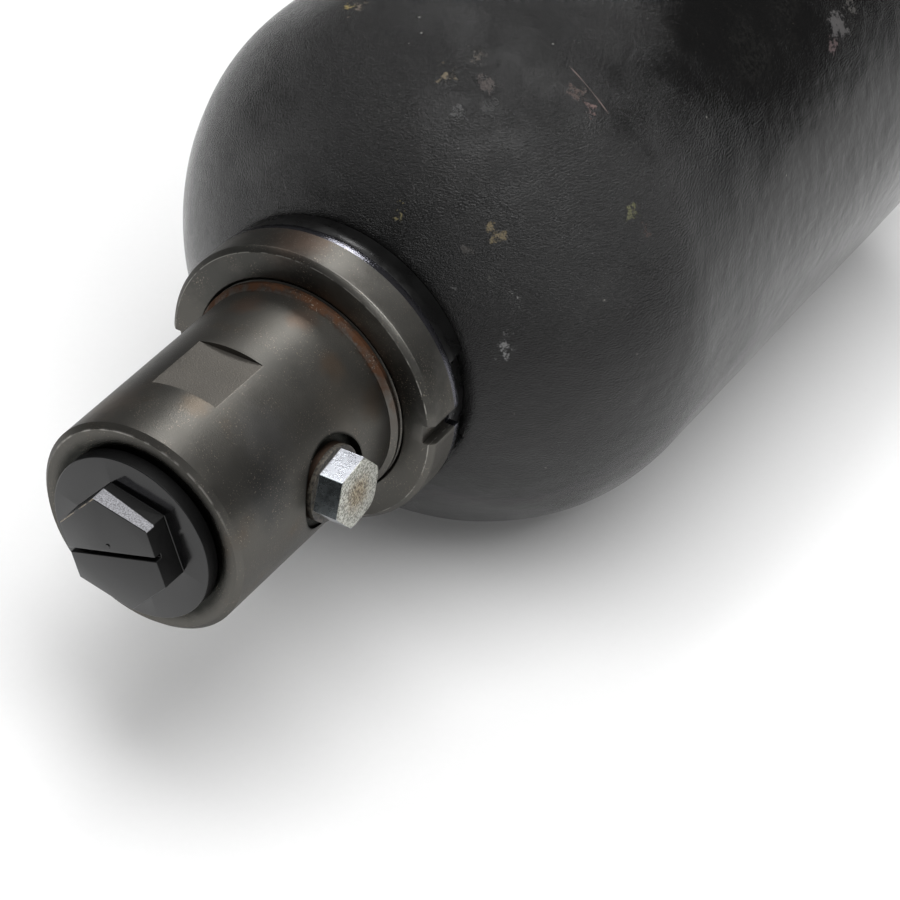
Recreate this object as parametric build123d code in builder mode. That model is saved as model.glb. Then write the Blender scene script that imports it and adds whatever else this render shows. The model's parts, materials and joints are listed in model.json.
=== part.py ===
from build123d import *
import os
from math import acos, asin, cos, degrees, radians, sin, tan

# Bladder accumulator lying on its side. The axis of everything turned is +Y, and the fluid port faces -Y.
# The origin is the centre of the port body's front face. Lengths are in millimetres, angles in degrees
# from +X towards +Z.
os.makedirs("parts", exist_ok=True)

# Clearances
screw_fit = 0.05          # radial, between threads drawn as plain cylinders at their middle diameter
slide_fit = 0.04          # radial, between a shaft and the bore that guides it
seat_gap = 0.1            # between the closed poppet and its seat
loose_fit = 0.1           # radial, rings slipped over a shaft or into a bore
seal_fit = 0.05           # each side of a squeezed O-ring

# Fluid port body
body_diameter = 67.0
body_front_chamfer = 1.5
thread_step = 1.5         # how far the thread stands out of the smooth part, on the radius
thread_in_view = 3.3      # from the step's foot to the nut
flat_depth = 1.75
flat_start = 22.5
flat_length = 22.5
port_wall = 13.0          # around the port's thread
port_thread_length = 24.0
port_mouth_chamfer = 1.0
port_relief = 0.5         # how much narrower the chamber behind the port's thread is, on the radius
web_setback = 5.0         # from the bleed screw's axis to the web
web_length = 14.0
flow_hole_rim = 0.5       # metal left on each side of a flow hole
flow_hole_count = 6
rear_chamber_wall = 9.5   # inside the smooth part's outside
seat_width = 6.0          # of the conical seat, on the radius and along the axis
flange_length = 12.0
flange_edge = 1.0

# Bleed screw, its seal and its counterbore, square to the flats
bleed_station = 45.0      # along the axis, from the front face
bleed_bore_diameter = 28.0
bleed_bore_depth = 3.5
bleed_thread_diameter = 11.2
bleed_thread_length = 5.0
vent_diameter = 5.0
bleed_seal_diameter = 23.0
bleed_seal_thickness = 2.0
bleed_collar_thickness = 1.5
bleed_head_across = 19.0
bleed_head_height = 8.0
bleed_head_turn = 11.5
head_crown = 0.6          # height of the cone that takes the head's corners off

# Slotted lock nut
nut_setback = 76.8        # from the body's front face to the nut's
nut_wall = 10.6           # from the thread's middle to the outside
nut_length = 14.0
nut_edge = 1.55
nut_mouth = 0.8
nut_slot_count = 2
nut_slot_width = 6.3
nut_slot_depth = 3.5

# Spacer ring
spacer_land_setback = 0.3      # how far the land lies inside the nut's outside
spacer_land_length = 3.8
spacer_collar_setback = 0.6    # how far the collar lies inside the land
spacer_collar_length = 3.9
spacer_spigot_length = 4.0
spacer_recess_depth = 3.3
spacer_recess_start = -20.0
spacer_recess_angle = 41.0

# Seals in the neck
neck_ring_room = 5.0      # between the thread and the neck's bore
backup_thickness = 2.0
port_washer_thickness = 3.5
rubber_lip = 4.0
support_thickness = 4.0
support_ledge = 6.0       # how far the steel half rings reach beyond the neck's bore
support_split = 0.8

# Shell
shell_diameter = 177.8
shell_wall = 7.0
head_depth = 74.0
barrel_length = 160.0
neck_wall = 5.2           # at the neck's face
gas_face_diameter = 60.0
gas_neck_thickness = 14.0
gas_hole_room = 1.0       # around the gas valve's stem

# Poppet, its guide and its spring
poppet_stroke = 12.0
stem_diameter = 10.0
poppet_lip = 2.0          # how far the poppet reaches beyond the seat's mouth
poppet_rim = 2.5
poppet_dome = 8.0
poppet_overlap = 0.6      # how much wider than the chamber the poppet's underside is, on the radius
stem_root = 3.0
stem_tail = 3.0           # stem beyond the nut
bush_wall = 2.5
bush_flange_thickness = 2.0
spring_room = 0.2         # between the wire and the stem's root
spring_seat_rim = 0.5     # of the bush's flange, around the spring
spring_wire = 2.6
spring_turns = 8
stop_washer_rim = 1.5     # of the washer, around the bush
stop_washer_thickness = 1.5
stop_nut_across = 17.0
stop_nut_height = 10.0
stop_nut_collar = 2.5
stop_nut_collar_diameter = 15.0

# Bladder and gas valve
bladder_diameter = 116.0
bladder_wall = 3.0
bladder_setback = 25.0    # from the poppet's top
bladder_port_depth = 42.0
bladder_gas_depth = 50.0
bladder_mouth_rim = 1.0   # of the bladder's mouth, around the stem's disc
bladder_collar = 4.0
gas_stem_diameter = 22.0
gas_disc_diameter = 46.0
gas_disc_thickness = 5.0
gas_passage_diameter = 3.0
gas_cord = 3.0
gas_washer_diameter = 40.0
gas_washer_thickness = 3.0
gas_nut_across = 36.0
gas_nut_height = 12.0
gas_nut_edge = 1.0
gas_thread_beyond = 11.0  # stem beyond the nut, where the guard cap screws on
valve_neck_wall = 2.0
valve_neck_length = 12.0
valve_pocket_diameter = 7.0
valve_pocket_depth = 24.0
valve_insert_length = 14.0
valve_insert_setback = 1.0
valve_pin_diameter = 2.0
valve_pin_reach = 1.4     # how far the pin stands out of the insert
valve_disc_diameter = 5.2
valve_disc_thickness = 1.8
seal_cap_wall = 1.5
seal_cap_top = 3.5
seal_cap_room = 1.5
seal_cap_cord = 1.5
guard_cap_wall = 6.0
guard_cap_top = 4.0
guard_cap_room = 2.0
guard_cap_standoff = 0.5
guard_cap_edge = 1.5
grip_flute_count = 12
grip_flute_diameter = 3.6

# Transport plug
plug_flange_rim = 5.5     # of the flange, around the port's thread
plug_flange_thickness = 4.6
plug_flange_edge = 0.8
plug_head_across = 31.2
plug_head_height = 8.2
plug_head_edge = 0.5
plug_turn = -12.3
plug_slot_width = 1.3
plug_slot_turn = 30.0     # from a corner of the head to the middle of a side
plug_slot_depth = 2.4
plug_shank_length = 14.0
plug_wall = 3.0
plug_pip_diameter = 1.8
plug_pip_height = 0.3
plug_pip_place = (-1.3, 2.4)

# Sizes that follow
body_thread_diameter = body_diameter + 2 * thread_step
port_thread_diameter = body_diameter - 2 * port_wall
rear_chamber_diameter = body_diameter - 2 * rear_chamber_wall
plug_flange_diameter = port_thread_diameter + 2 * plug_flange_rim
flats_across = body_diameter - 2 * flat_depth
nut_diameter = body_thread_diameter + 2 * nut_wall
spacer_land_diameter = nut_diameter - 2 * spacer_land_setback
spacer_collar_diameter = spacer_land_diameter - 2 * spacer_collar_setback
spacer_recess_diameter = spacer_land_diameter - 2 * spacer_recess_depth
neck_bore_diameter = body_thread_diameter + 2 * neck_ring_room
neck_face_diameter = neck_bore_diameter + 2 * neck_wall
seal_cord = neck_ring_room - 2 * seal_fit
support_diameter = neck_bore_diameter + 2 * support_ledge
rubber_ring_diameter = support_diameter + 2 * rubber_lip
bleed_floor = body_diameter / 2 - bleed_bore_depth
bleed_thread_end = bleed_floor - bleed_thread_length
seat_mouth_diameter = rear_chamber_diameter + 2 * seat_width
poppet_diameter = seat_mouth_diameter + 2 * poppet_lip
bush_diameter = stem_diameter + 2 * bush_wall
spring_diameter = stem_diameter + stem_root + spring_wire + 2 * spring_room
bush_flange_diameter = spring_diameter + spring_wire + 2 * spring_seat_rim
stop_washer_diameter = bush_diameter + 2 * stop_washer_rim
front_chamber_diameter = port_thread_diameter - 2 * port_relief
flow_hole_circle = (bush_flange_diameter + front_chamber_diameter) / 2
flow_hole_diameter = (front_chamber_diameter - bush_flange_diameter) / 2 - 2 * flow_hole_rim
gas_hole_diameter = gas_stem_diameter + 2 * gas_hole_room
gas_seal_room = gas_cord + 2 * seal_fit
bladder_mouth_diameter = gas_disc_diameter + 2 * bladder_mouth_rim
valve_neck_diameter = valve_pocket_diameter + 2 * valve_neck_wall
seal_cap_across = valve_neck_diameter + 2 * seal_cap_wall
guard_cap_diameter = gas_stem_diameter + 2 * guard_cap_wall

# Places along the axis
smooth_length = nut_setback - thread_in_view
web_start = bleed_station + web_setback
spacer_front = nut_setback + nut_length
neck_face = spacer_front + spacer_land_length + spacer_collar_length
backup_front = neck_face + spacer_spigot_length
seal_front = backup_front + backup_thickness
port_washer_front = seal_front + seal_cord + 2 * seal_fit
neck_inner_face = port_washer_front + port_washer_thickness
support_front = neck_inner_face + rubber_lip
flange_front = support_front + support_thickness
body_rear = flange_front + flange_length
web_end = web_start + web_length
poppet_underside = body_rear - seat_width + poppet_overlap + seat_gap + poppet_stroke
poppet_underside_diameter = rear_chamber_diameter + 2 * poppet_overlap
poppet_edge = poppet_underside + (poppet_diameter - poppet_underside_diameter) / 2
poppet_top = poppet_edge + poppet_rim + poppet_dome
spring_front = web_end + bush_flange_thickness

# The shell's heads are ellipsoids, cut off square at the necks
inner_radius = shell_diameter / 2 - shell_wall
inner_depth = head_depth - shell_wall
neck_angle = degrees(acos(neck_face_diameter / shell_diameter))
gas_angle = degrees(acos(gas_face_diameter / shell_diameter))


def head_rise(depth, angle):
    """Axial distance from an ellipsoid's centre plane to the point at this parameter angle."""
    return depth * sin(radians(angle))


barrel_start = neck_face + head_rise(head_depth, neck_angle)
barrel_end = barrel_start + barrel_length
gas_face = barrel_end + head_rise(head_depth, gas_angle)
gas_inner_face = gas_face - gas_neck_thickness
neck_inner_angle = degrees(asin((barrel_start - neck_inner_face) / inner_depth))
gas_inner_angle = degrees(asin((gas_inner_face - barrel_end) / inner_depth))

# Places of the gas valve
disc_rear = gas_inner_face - bladder_collar
disc_front = disc_rear - gas_disc_thickness
gas_nut_front = gas_face + gas_washer_thickness
gas_nut_end = gas_nut_front + gas_nut_height
stem_shoulder = gas_nut_end + gas_thread_beyond
neck_end = stem_shoulder + valve_neck_length
insert_end = neck_end - valve_insert_setback
insert_start = insert_end - valve_insert_length
seal_cap_start = stem_shoulder + seal_cap_cord + 2 * seal_fit
seal_cap_ceiling = neck_end + seal_cap_room
seal_cap_end = seal_cap_ceiling + seal_cap_top
guard_cap_start = gas_nut_end + guard_cap_standoff
guard_cap_ceiling = seal_cap_end + guard_cap_room
guard_cap_end = guard_cap_ceiling + guard_cap_top


def across(station):
    """Plane square to the main axis, with its own x along X and y along Z. Solids grow to +Y by -amount."""
    return Plane.XZ.offset(-station)


def band(inner, outer, start, end, mode=Mode.ADD):
    """Rectangle of a turned profile, between two radii and two places along the axis."""
    with Locations((inner, start)):
        Rectangle(outer - inner, end - start, align=(Align.MIN, Align.MIN), mode=mode)


def dome_outline(radius, base, rise, angle=90):
    """Arc of an ellipse, as one curve, from its rim at this radius and base up to this parameter angle."""
    pull = 4 / 3 * tan(radians(angle / 4))
    side = cos(radians(angle))
    top = sin(radians(angle))
    return Bezier(
        (radius, base),
        (radius, base + pull * rise),
        (radius * (side + pull * top), base + rise * (top - pull * side)),
        (radius * side, base + rise * top),
    )


def vessel_outline(radius, depth, front_angle, rear_angle):
    """Half outline of the barrel with its two ellipsoid heads, each cut off square at its parameter angle."""
    front = dome_outline(radius, barrel_start, -depth, front_angle)
    Line(front @ 0, (radius, barrel_end))
    rear = dome_outline(radius, barrel_end, depth, rear_angle)
    Polyline(rear @ 1, (0, (rear @ 1).Y), (0, (front @ 1).Y), front @ 1)


def bag_outline(radius, front_depth, rear_depth, rear_angle):
    """Half outline of the bladder: a full dome at the port, and a dome cut off square at its collar."""
    front = dome_outline(radius, bag_front_centre, -front_depth)
    Line(front @ 0, (radius, bag_rear_centre))
    rear = dome_outline(radius, bag_rear_centre, rear_depth, rear_angle)
    Polyline(rear @ 1, (0, (rear @ 1).Y), front @ 1)


def save(piece, name):
    piece.part.label = name
    export_step(piece.part, f"parts/{name}.step")


# Shell: one forging with an ellipsoid head, a neck at each end and a plain barrel
with BuildPart() as shell:
    with BuildSketch(Plane.XY):
        with BuildLine():
            vessel_outline(shell_diameter / 2, head_depth, neck_angle, gas_angle)
        make_face()
        with BuildLine():
            vessel_outline(inner_radius, inner_depth, neck_inner_angle, gas_inner_angle)
        make_face(mode=Mode.SUBTRACT)
        band(0, neck_bore_diameter / 2, neck_face, neck_inner_face, Mode.SUBTRACT)
        band(0, gas_hole_diameter / 2, gas_inner_face, gas_face, Mode.SUBTRACT)
        band(0, gas_stem_diameter / 2 + gas_seal_room, gas_face - gas_seal_room, gas_face, Mode.SUBTRACT)
    revolve(axis=Axis.Y)
save(shell, "shell")

# Fluid port body: turned from bar, with a drilled web, a conical seat, two spanner flats and the bleed boss
with BuildPart() as fluid_port_body:
    with BuildSketch(Plane.XY):
        with BuildLine():
            body_radius = body_diameter / 2
            thread_radius = body_thread_diameter / 2
            flange_radius = neck_bore_diameter / 2 - flange_edge
            Polyline(
                (port_thread_diameter / 2 + port_mouth_chamfer, 0),
                (body_radius - body_front_chamfer, 0),
                (body_radius, body_front_chamfer),
                (body_radius, smooth_length),
                (thread_radius, smooth_length + thread_step),
                (thread_radius, flange_front),
                (flange_radius, flange_front),
                (flange_radius, body_rear - flange_edge),
                (flange_radius - flange_edge, body_rear),
                (seat_mouth_diameter / 2, body_rear),
                (rear_chamber_diameter / 2, body_rear - seat_width),
                (rear_chamber_diameter / 2, web_end),
                (bush_diameter / 2, web_end),
                (bush_diameter / 2, web_start),
                (front_chamber_diameter / 2, web_start),
                (front_chamber_diameter / 2, port_thread_length),
                (port_thread_diameter / 2, port_thread_length),
                (port_thread_diameter / 2, port_mouth_chamfer),
                close=True,
            )
        make_face()
    revolve(axis=Axis.Y)
    with BuildSketch(across(web_start)):
        with PolarLocations(flow_hole_circle / 2, flow_hole_count):
            Circle(flow_hole_diameter / 2)
    extrude(amount=-web_length, mode=Mode.SUBTRACT)
    for side in (1, -1):
        with BuildSketch(Plane.XY.offset(side * flats_across / 2)):
            with Locations((0, flat_start + flat_length / 2)):
                Rectangle(body_diameter, flat_length)
        extrude(amount=side * body_diameter, mode=Mode.SUBTRACT)
    with Locations(Location(Plane(origin=(body_diameter / 2, bleed_station, 0), z_dir=(1, 0, 0)))):
        CounterBoreHole(
            radius=bleed_thread_diameter / 2,
            counter_bore_radius=bleed_bore_diameter / 2,
            counter_bore_depth=bleed_bore_depth,
            depth=bleed_bore_depth + bleed_thread_length,
        )
    with BuildSketch(Plane.XY):
        with BuildLine():
            bleed_cone = (bleed_thread_diameter - vent_diameter) / 2
            Polyline(
                (bleed_thread_end, bleed_station),
                (bleed_thread_end, bleed_station + bleed_thread_diameter / 2),
                (bleed_thread_end - bleed_cone, bleed_station + vent_diameter / 2),
                (0, bleed_station + vent_diameter / 2),
                (0, bleed_station),
                close=True,
            )
        make_face()
    revolve(axis=Axis((0, bleed_station, 0), (1, 0, 0)), mode=Mode.SUBTRACT)
save(fluid_port_body, "fluid_port_body")

# Slotted lock nut on the port body's thread
with BuildPart() as lock_nut:
    with BuildSketch(Plane.XY):
        with BuildLine():
            nut_bore = body_thread_diameter / 2 + screw_fit
            Polyline(
                (nut_bore + nut_mouth, nut_setback),
                (nut_diameter / 2 - nut_edge, nut_setback),
                (nut_diameter / 2, nut_setback + nut_edge),
                (nut_diameter / 2, spacer_front),
                (nut_bore, spacer_front),
                (nut_bore, nut_setback + nut_mouth),
                close=True,
            )
        make_face()
    revolve(axis=Axis.Y)
    with BuildSketch(across(nut_setback)):
        with PolarLocations(nut_diameter / 2, nut_slot_count):
            Rectangle(2 * nut_slot_depth, nut_slot_width)
    extrude(amount=-nut_length, mode=Mode.SUBTRACT)
save(lock_nut, "lock_nut")

# Spacer ring: a land under the nut, a collar on the neck face and a spigot inside the neck
with BuildPart() as spacer_ring:
    with BuildSketch(Plane.XY):
        spacer_bore = body_thread_diameter / 2 + loose_fit
        spacer_collar_front = spacer_front + spacer_land_length
        band(spacer_bore, spacer_land_diameter / 2, spacer_front, spacer_collar_front)
        band(spacer_bore, spacer_collar_diameter / 2, spacer_collar_front, neck_face)
        band(spacer_bore, neck_bore_diameter / 2 - loose_fit, neck_face, backup_front)
    revolve(axis=Axis.Y)
    with BuildSketch(Plane.XY.rotated((0, -spacer_recess_start, 0))):
        band(spacer_recess_diameter / 2, spacer_land_diameter, spacer_front, spacer_collar_front)
    revolve(axis=Axis.Y, revolution_arc=-spacer_recess_angle, mode=Mode.SUBTRACT)
save(spacer_ring, "spacer_ring")

# Rings in the neck, between the port body's thread and the shell's bore
ring_inside = body_thread_diameter / 2 + loose_fit
ring_outside = neck_bore_diameter / 2 - loose_fit
with BuildPart() as backup_ring:
    with BuildSketch(Plane.XY):
        band(ring_inside, ring_outside, backup_front, seal_front)
    revolve(axis=Axis.Y)
save(backup_ring, "backup_ring")

with BuildPart() as port_o_ring:
    with BuildSketch(Plane.XY):
        with Locations(((body_thread_diameter + neck_bore_diameter) / 4, seal_front + seal_fit + seal_cord / 2)):
            Circle(seal_cord / 2)
    revolve(axis=Axis.Y)
save(port_o_ring, "port_o_ring")

with BuildPart() as port_washer:
    with BuildSketch(Plane.XY):
        band(ring_inside, ring_outside, port_washer_front, neck_inner_face)
    revolve(axis=Axis.Y)
save(port_washer, "port_washer")

# Anti-extrusion ring: soft rubber against the neck, with a step that holds the two steel half rings
with BuildPart() as anti_extrusion_ring:
    with BuildSketch(Plane.XY):
        band(ring_inside, rubber_ring_diameter / 2, neck_inner_face, support_front)
        band(support_diameter / 2, rubber_ring_diameter / 2, support_front, flange_front)
    revolve(axis=Axis.Y)
    rims = anti_extrusion_ring.edges().filter_by(GeomType.CIRCLE).group_by(SortBy.RADIUS)[-1]
    fillet(rims.sort_by(Axis.Y)[-1], rubber_lip / 2)
save(anti_extrusion_ring, "anti_extrusion_ring")

with BuildPart() as support_ring_halves:
    with BuildSketch(Plane.XY):
        band(ring_inside, support_diameter / 2 - loose_fit, support_front, flange_front)
    revolve(axis=Axis.Y)
    with BuildSketch(across(support_front)):
        Rectangle(2 * support_diameter, support_split)
    extrude(amount=-support_thickness, mode=Mode.SUBTRACT)
save(support_ring_halves, "support_ring_halves")

# Bleed screw: hexagon head with its corners taken off, collar, thread and conical tip
bleed_axis = Axis((0, bleed_station, 0), (1, 0, 0))
bleed_seal_top = bleed_floor + bleed_seal_thickness
bleed_head_start = bleed_seal_top + bleed_collar_thickness
bleed_head_end = bleed_head_start + bleed_head_height
with BuildPart() as bleed_screw:
    with BuildSketch(Plane.YZ.offset(bleed_head_start)):
        with Locations((bleed_station, 0)):
            RegularPolygon(bleed_head_across / 2, 6, major_radius=False, rotation=bleed_head_turn)
    extrude(amount=bleed_head_height)
    with BuildSketch(Plane.XY):
        with BuildLine():
            head_corner = bleed_head_across / 3**0.5
            Polyline(
                (bleed_head_start, bleed_station),
                (bleed_head_start, bleed_station + head_corner),
                (bleed_head_end - head_crown, bleed_station + head_corner),
                (bleed_head_end, bleed_station + head_corner - 3**0.5 * head_crown),
                (bleed_head_end, bleed_station),
                close=True,
            )
        make_face()
    revolve(axis=bleed_axis, mode=Mode.INTERSECT)
    with BuildSketch(Plane.XY):
        with BuildLine():
            bleed_shank = bleed_thread_diameter / 2 - screw_fit
            bleed_tip = vent_diameter / 2
            bleed_cone_base = bleed_thread_end + seat_gap
            bleed_cone_top = bleed_cone_base - bleed_shank + bleed_tip
            Polyline(
                (bleed_head_start, bleed_station),
                (bleed_head_start, bleed_station + bleed_seal_diameter / 2),
                (bleed_seal_top, bleed_station + bleed_seal_diameter / 2),
                (bleed_seal_top, bleed_station + bleed_shank),
                (bleed_cone_base, bleed_station + bleed_shank),
                (bleed_cone_top, bleed_station + bleed_tip),
                (bleed_cone_top, bleed_station),
                close=True,
            )
        make_face()
    revolve(axis=bleed_axis)
save(bleed_screw, "bleed_screw")

with BuildPart() as bleed_seal_ring:
    with BuildSketch(Plane.YZ.offset(bleed_floor)):
        with Locations((bleed_station, 0)):
            Circle(bleed_seal_diameter / 2)
            Circle(bleed_thread_diameter / 2, mode=Mode.SUBTRACT)
    extrude(amount=bleed_seal_thickness)
save(bleed_seal_ring, "bleed_seal_ring")

# Transport plug: hollow moulded screw with a flange, a hexagon head, one screwdriver slot and a gate pip
with BuildPart() as transport_plug:
    with BuildSketch(Plane.XY):
        plug_shank = port_thread_diameter / 2 - screw_fit
        band(0, plug_flange_diameter / 2, -plug_flange_thickness, 0)
        band(0, plug_shank, 0, plug_shank_length)
        band(0, plug_shank - plug_wall, plug_wall - plug_flange_thickness, plug_shank_length, Mode.SUBTRACT)
    revolve(axis=Axis.Y)
    fillet(transport_plug.edges().filter_by(GeomType.CIRCLE).sort_by(Axis.Y)[0], plug_flange_edge)
    with BuildSketch(across(-plug_flange_thickness)):
        RegularPolygon(plug_head_across / 2, 6, major_radius=False, rotation=plug_turn)
    extrude(amount=plug_head_height)
    chamfer(transport_plug.faces().sort_by(Axis.Y)[0].edges(), plug_head_edge)
    plug_face = -plug_flange_thickness - plug_head_height
    with BuildSketch(across(plug_face)):
        Rectangle(2 * plug_head_across, plug_slot_width, rotation=plug_turn + plug_slot_turn)
    extrude(amount=-plug_slot_depth, mode=Mode.SUBTRACT)
    with BuildSketch(across(plug_face)):
        with Locations(plug_pip_place):
            Circle(plug_pip_diameter / 2)
    extrude(amount=plug_pip_height)
save(transport_plug, "transport_plug")

# Poppet, drawn open: stem, underside that the spring bears on, conical sealing edge and domed top
with BuildPart() as poppet:
    with BuildSketch(Plane.XY):
        with BuildLine():
            stem_radius = stem_diameter / 2
            poppet_radius = poppet_diameter / 2
            stem_end = web_start - stop_washer_thickness - stop_nut_height - stem_tail
            outline = Polyline(
                (0, stem_end),
                (stem_radius, stem_end),
                (stem_radius, poppet_underside - stem_root),
                (stem_radius + stem_root / 2, poppet_underside),
                (poppet_underside_diameter / 2, poppet_underside),
                (poppet_radius, poppet_edge),
                (poppet_radius, poppet_edge + poppet_rim),
            )
            dome = dome_outline(poppet_radius, poppet_edge + poppet_rim, poppet_dome)
            Line(dome @ 1, outline @ 0)
        make_face()
    revolve(axis=Axis.Y)
save(poppet, "poppet")

with BuildPart() as guide_bush:
    with BuildSketch(Plane.XY):
        bush_bore = stem_diameter / 2 + slide_fit
        band(bush_bore, bush_diameter / 2, web_start, web_end)
        band(bush_bore, bush_flange_diameter / 2, web_end, spring_front)
    revolve(axis=Axis.Y)
save(guide_bush, "guide_bush")

# Spring with its ends ground flat
spring_length = poppet_underside - spring_front
with BuildPart() as poppet_spring:
    with BuildLine():
        coil = Helix(
            pitch=spring_length / spring_turns,
            height=spring_length,
            radius=spring_diameter / 2,
            center=(0, spring_front, 0),
            direction=(0, 1, 0),
        )
    with BuildSketch(Plane(origin=coil @ 0, z_dir=coil % 0)):
        Circle(spring_wire / 2)
    sweep()
    split(bisect_by=across(spring_front), keep=Keep.BOTTOM)
    split(bisect_by=across(poppet_underside), keep=Keep.TOP)
save(poppet_spring, "poppet_spring")

with BuildPart() as poppet_washer:
    with BuildSketch(across(web_start)):
        Circle(stop_washer_diameter / 2)
        Circle(stem_diameter / 2 + loose_fit, mode=Mode.SUBTRACT)
    extrude(amount=stop_washer_thickness)
save(poppet_washer, "poppet_washer")

with BuildPart() as poppet_stop_nut:
    stop_nut_rear = web_start - stop_washer_thickness
    with BuildSketch(across(stop_nut_rear)):
        RegularPolygon(stop_nut_across / 2, 6, major_radius=False)
    extrude(amount=stop_nut_height - stop_nut_collar)
    with BuildSketch(across(stop_nut_rear)):
        Circle(stop_nut_collar_diameter / 2)
    extrude(amount=stop_nut_height)
    with BuildSketch(across(stop_nut_rear)):
        Circle(stem_diameter / 2 + screw_fit)
    extrude(amount=stop_nut_height, mode=Mode.SUBTRACT)
save(poppet_stop_nut, "poppet_stop_nut")

# Bladder: a closed bag, held by its collar between the stem's disc and the shell
bag_rear_angle = degrees(acos(bladder_mouth_diameter / bladder_diameter))
bag_rear_centre = gas_inner_face - head_rise(bladder_gas_depth, bag_rear_angle)
bag_front_centre = poppet_top + bladder_setback + bladder_port_depth
bag_inner_depth = bladder_gas_depth - bladder_wall
bag_inner_angle = degrees(asin((disc_rear - bag_rear_centre) / bag_inner_depth))
with BuildPart() as bladder:
    with BuildSketch(Plane.XY):
        with BuildLine():
            bag_outline(bladder_diameter / 2, bladder_port_depth, bladder_gas_depth, bag_rear_angle)
        make_face()
        with BuildLine():
            bag_outline(
                bladder_diameter / 2 - bladder_wall,
                bladder_port_depth - bladder_wall,
                bag_inner_depth,
                bag_inner_angle,
            )
        make_face(mode=Mode.SUBTRACT)
        band(0, gas_stem_diameter / 2 + loose_fit, disc_rear, gas_inner_face, Mode.SUBTRACT)
    revolve(axis=Axis.Y)
save(bladder, "bladder")

# Gas valve stem: disc inside the bladder, threaded shank through the shell, small neck with the valve pocket
with BuildPart() as gas_valve_stem:
    with BuildSketch(Plane.XY):
        band(0, gas_disc_diameter / 2, disc_front, disc_rear)
        band(0, gas_stem_diameter / 2, disc_rear, stem_shoulder)
        band(0, valve_neck_diameter / 2, stem_shoulder, neck_end)
        band(0, gas_passage_diameter / 2, disc_front, neck_end, Mode.SUBTRACT)
        band(0, valve_pocket_diameter / 2, neck_end - valve_pocket_depth, neck_end, Mode.SUBTRACT)
    revolve(axis=Axis.Y)
save(gas_valve_stem, "gas_valve_stem")

with BuildPart() as gas_o_ring:
    with BuildSketch(Plane.XY):
        with Locations(
            (gas_stem_diameter / 2 + seal_fit + gas_cord / 2, gas_face - seal_fit - gas_cord / 2)
        ):
            Circle(gas_cord / 2)
    revolve(axis=Axis.Y)
save(gas_o_ring, "gas_o_ring")

with BuildPart() as gas_washer:
    with BuildSketch(across(gas_face)):
        Circle(gas_washer_diameter / 2)
        Circle(gas_stem_diameter / 2 + loose_fit, mode=Mode.SUBTRACT)
    extrude(amount=-gas_washer_thickness)
save(gas_washer, "gas_washer")

with BuildPart() as gas_lock_nut:
    with BuildSketch(across(gas_nut_front)):
        RegularPolygon(gas_nut_across / 2, 6, major_radius=False)
    extrude(amount=-gas_nut_height)
    chamfer(gas_lock_nut.faces().sort_by(Axis.Y)[-1].edges(), gas_nut_edge)
    with BuildSketch(across(gas_nut_front)):
        Circle(gas_stem_diameter / 2 + screw_fit)
    extrude(amount=-gas_nut_height, mode=Mode.SUBTRACT)
save(gas_lock_nut, "gas_lock_nut")

with BuildPart() as valve_insert:
    with BuildSketch(Plane.XY):
        band(
            valve_pin_diameter / 2 + slide_fit, valve_pocket_diameter / 2 - screw_fit, insert_start, insert_end
        )
    revolve(axis=Axis.Y)
save(valve_insert, "valve_insert")

with BuildPart() as valve_pin:
    with BuildSketch(Plane.XY):
        pin_disc_rear = insert_start - seat_gap
        band(0, valve_disc_diameter / 2, pin_disc_rear - valve_disc_thickness, pin_disc_rear)
        band(0, valve_pin_diameter / 2, pin_disc_rear, insert_end + valve_pin_reach)
    revolve(axis=Axis.Y)
save(valve_pin, "valve_pin")

with BuildPart() as seal_cap_ring:
    with BuildSketch(Plane.XY):
        with Locations(
            (valve_neck_diameter / 2 + seal_fit + seal_cap_cord / 2, stem_shoulder + seal_fit + seal_cap_cord / 2)
        ):
            Circle(seal_cap_cord / 2)
    revolve(axis=Axis.Y)
save(seal_cap_ring, "seal_cap_ring")

with BuildPart() as seal_cap:
    with BuildSketch(across(seal_cap_start)):
        RegularPolygon(seal_cap_across / 2, 6, major_radius=False)
    extrude(amount=seal_cap_start - seal_cap_end)
    with BuildSketch(across(seal_cap_start)):
        Circle(valve_neck_diameter / 2 + screw_fit)
    extrude(amount=seal_cap_start - seal_cap_ceiling, mode=Mode.SUBTRACT)
save(seal_cap, "seal_cap")

with BuildPart() as guard_cap:
    with BuildSketch(Plane.XY):
        band(0, guard_cap_diameter / 2, guard_cap_start, guard_cap_end)
        band(0, gas_stem_diameter / 2 + screw_fit, guard_cap_start, guard_cap_ceiling, Mode.SUBTRACT)
    revolve(axis=Axis.Y)
    chamfer(guard_cap.edges().filter_by(GeomType.CIRCLE).sort_by(Axis.Y)[-1], guard_cap_edge)
    with BuildSketch(across(guard_cap_start)):
        with PolarLocations(guard_cap_diameter / 2 + grip_flute_diameter / 4, grip_flute_count):
            Circle(grip_flute_diameter / 2)
    extrude(amount=guard_cap_start - guard_cap_end, mode=Mode.SUBTRACT)
save(guard_cap, "guard_cap")
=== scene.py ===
# %% [markdown]
# # A bladder accumulator, finished for its photograph
# The solids of this part arrive ready made: a forged black shell with a steel fluid port, and the valves and
# the rubber bladder inside it. Here the pieces that can be seen are modelled once more with fine edges, every
# surface gets its finish, and the studio is set up around it. All lengths are in metres. The main axis is +Y,
# the fluid port faces -Y, and the part lies on its side as it does in the photograph.

# %% Load the solids
import json
from math import acos, asin, cos, pi, radians, sin

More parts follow.
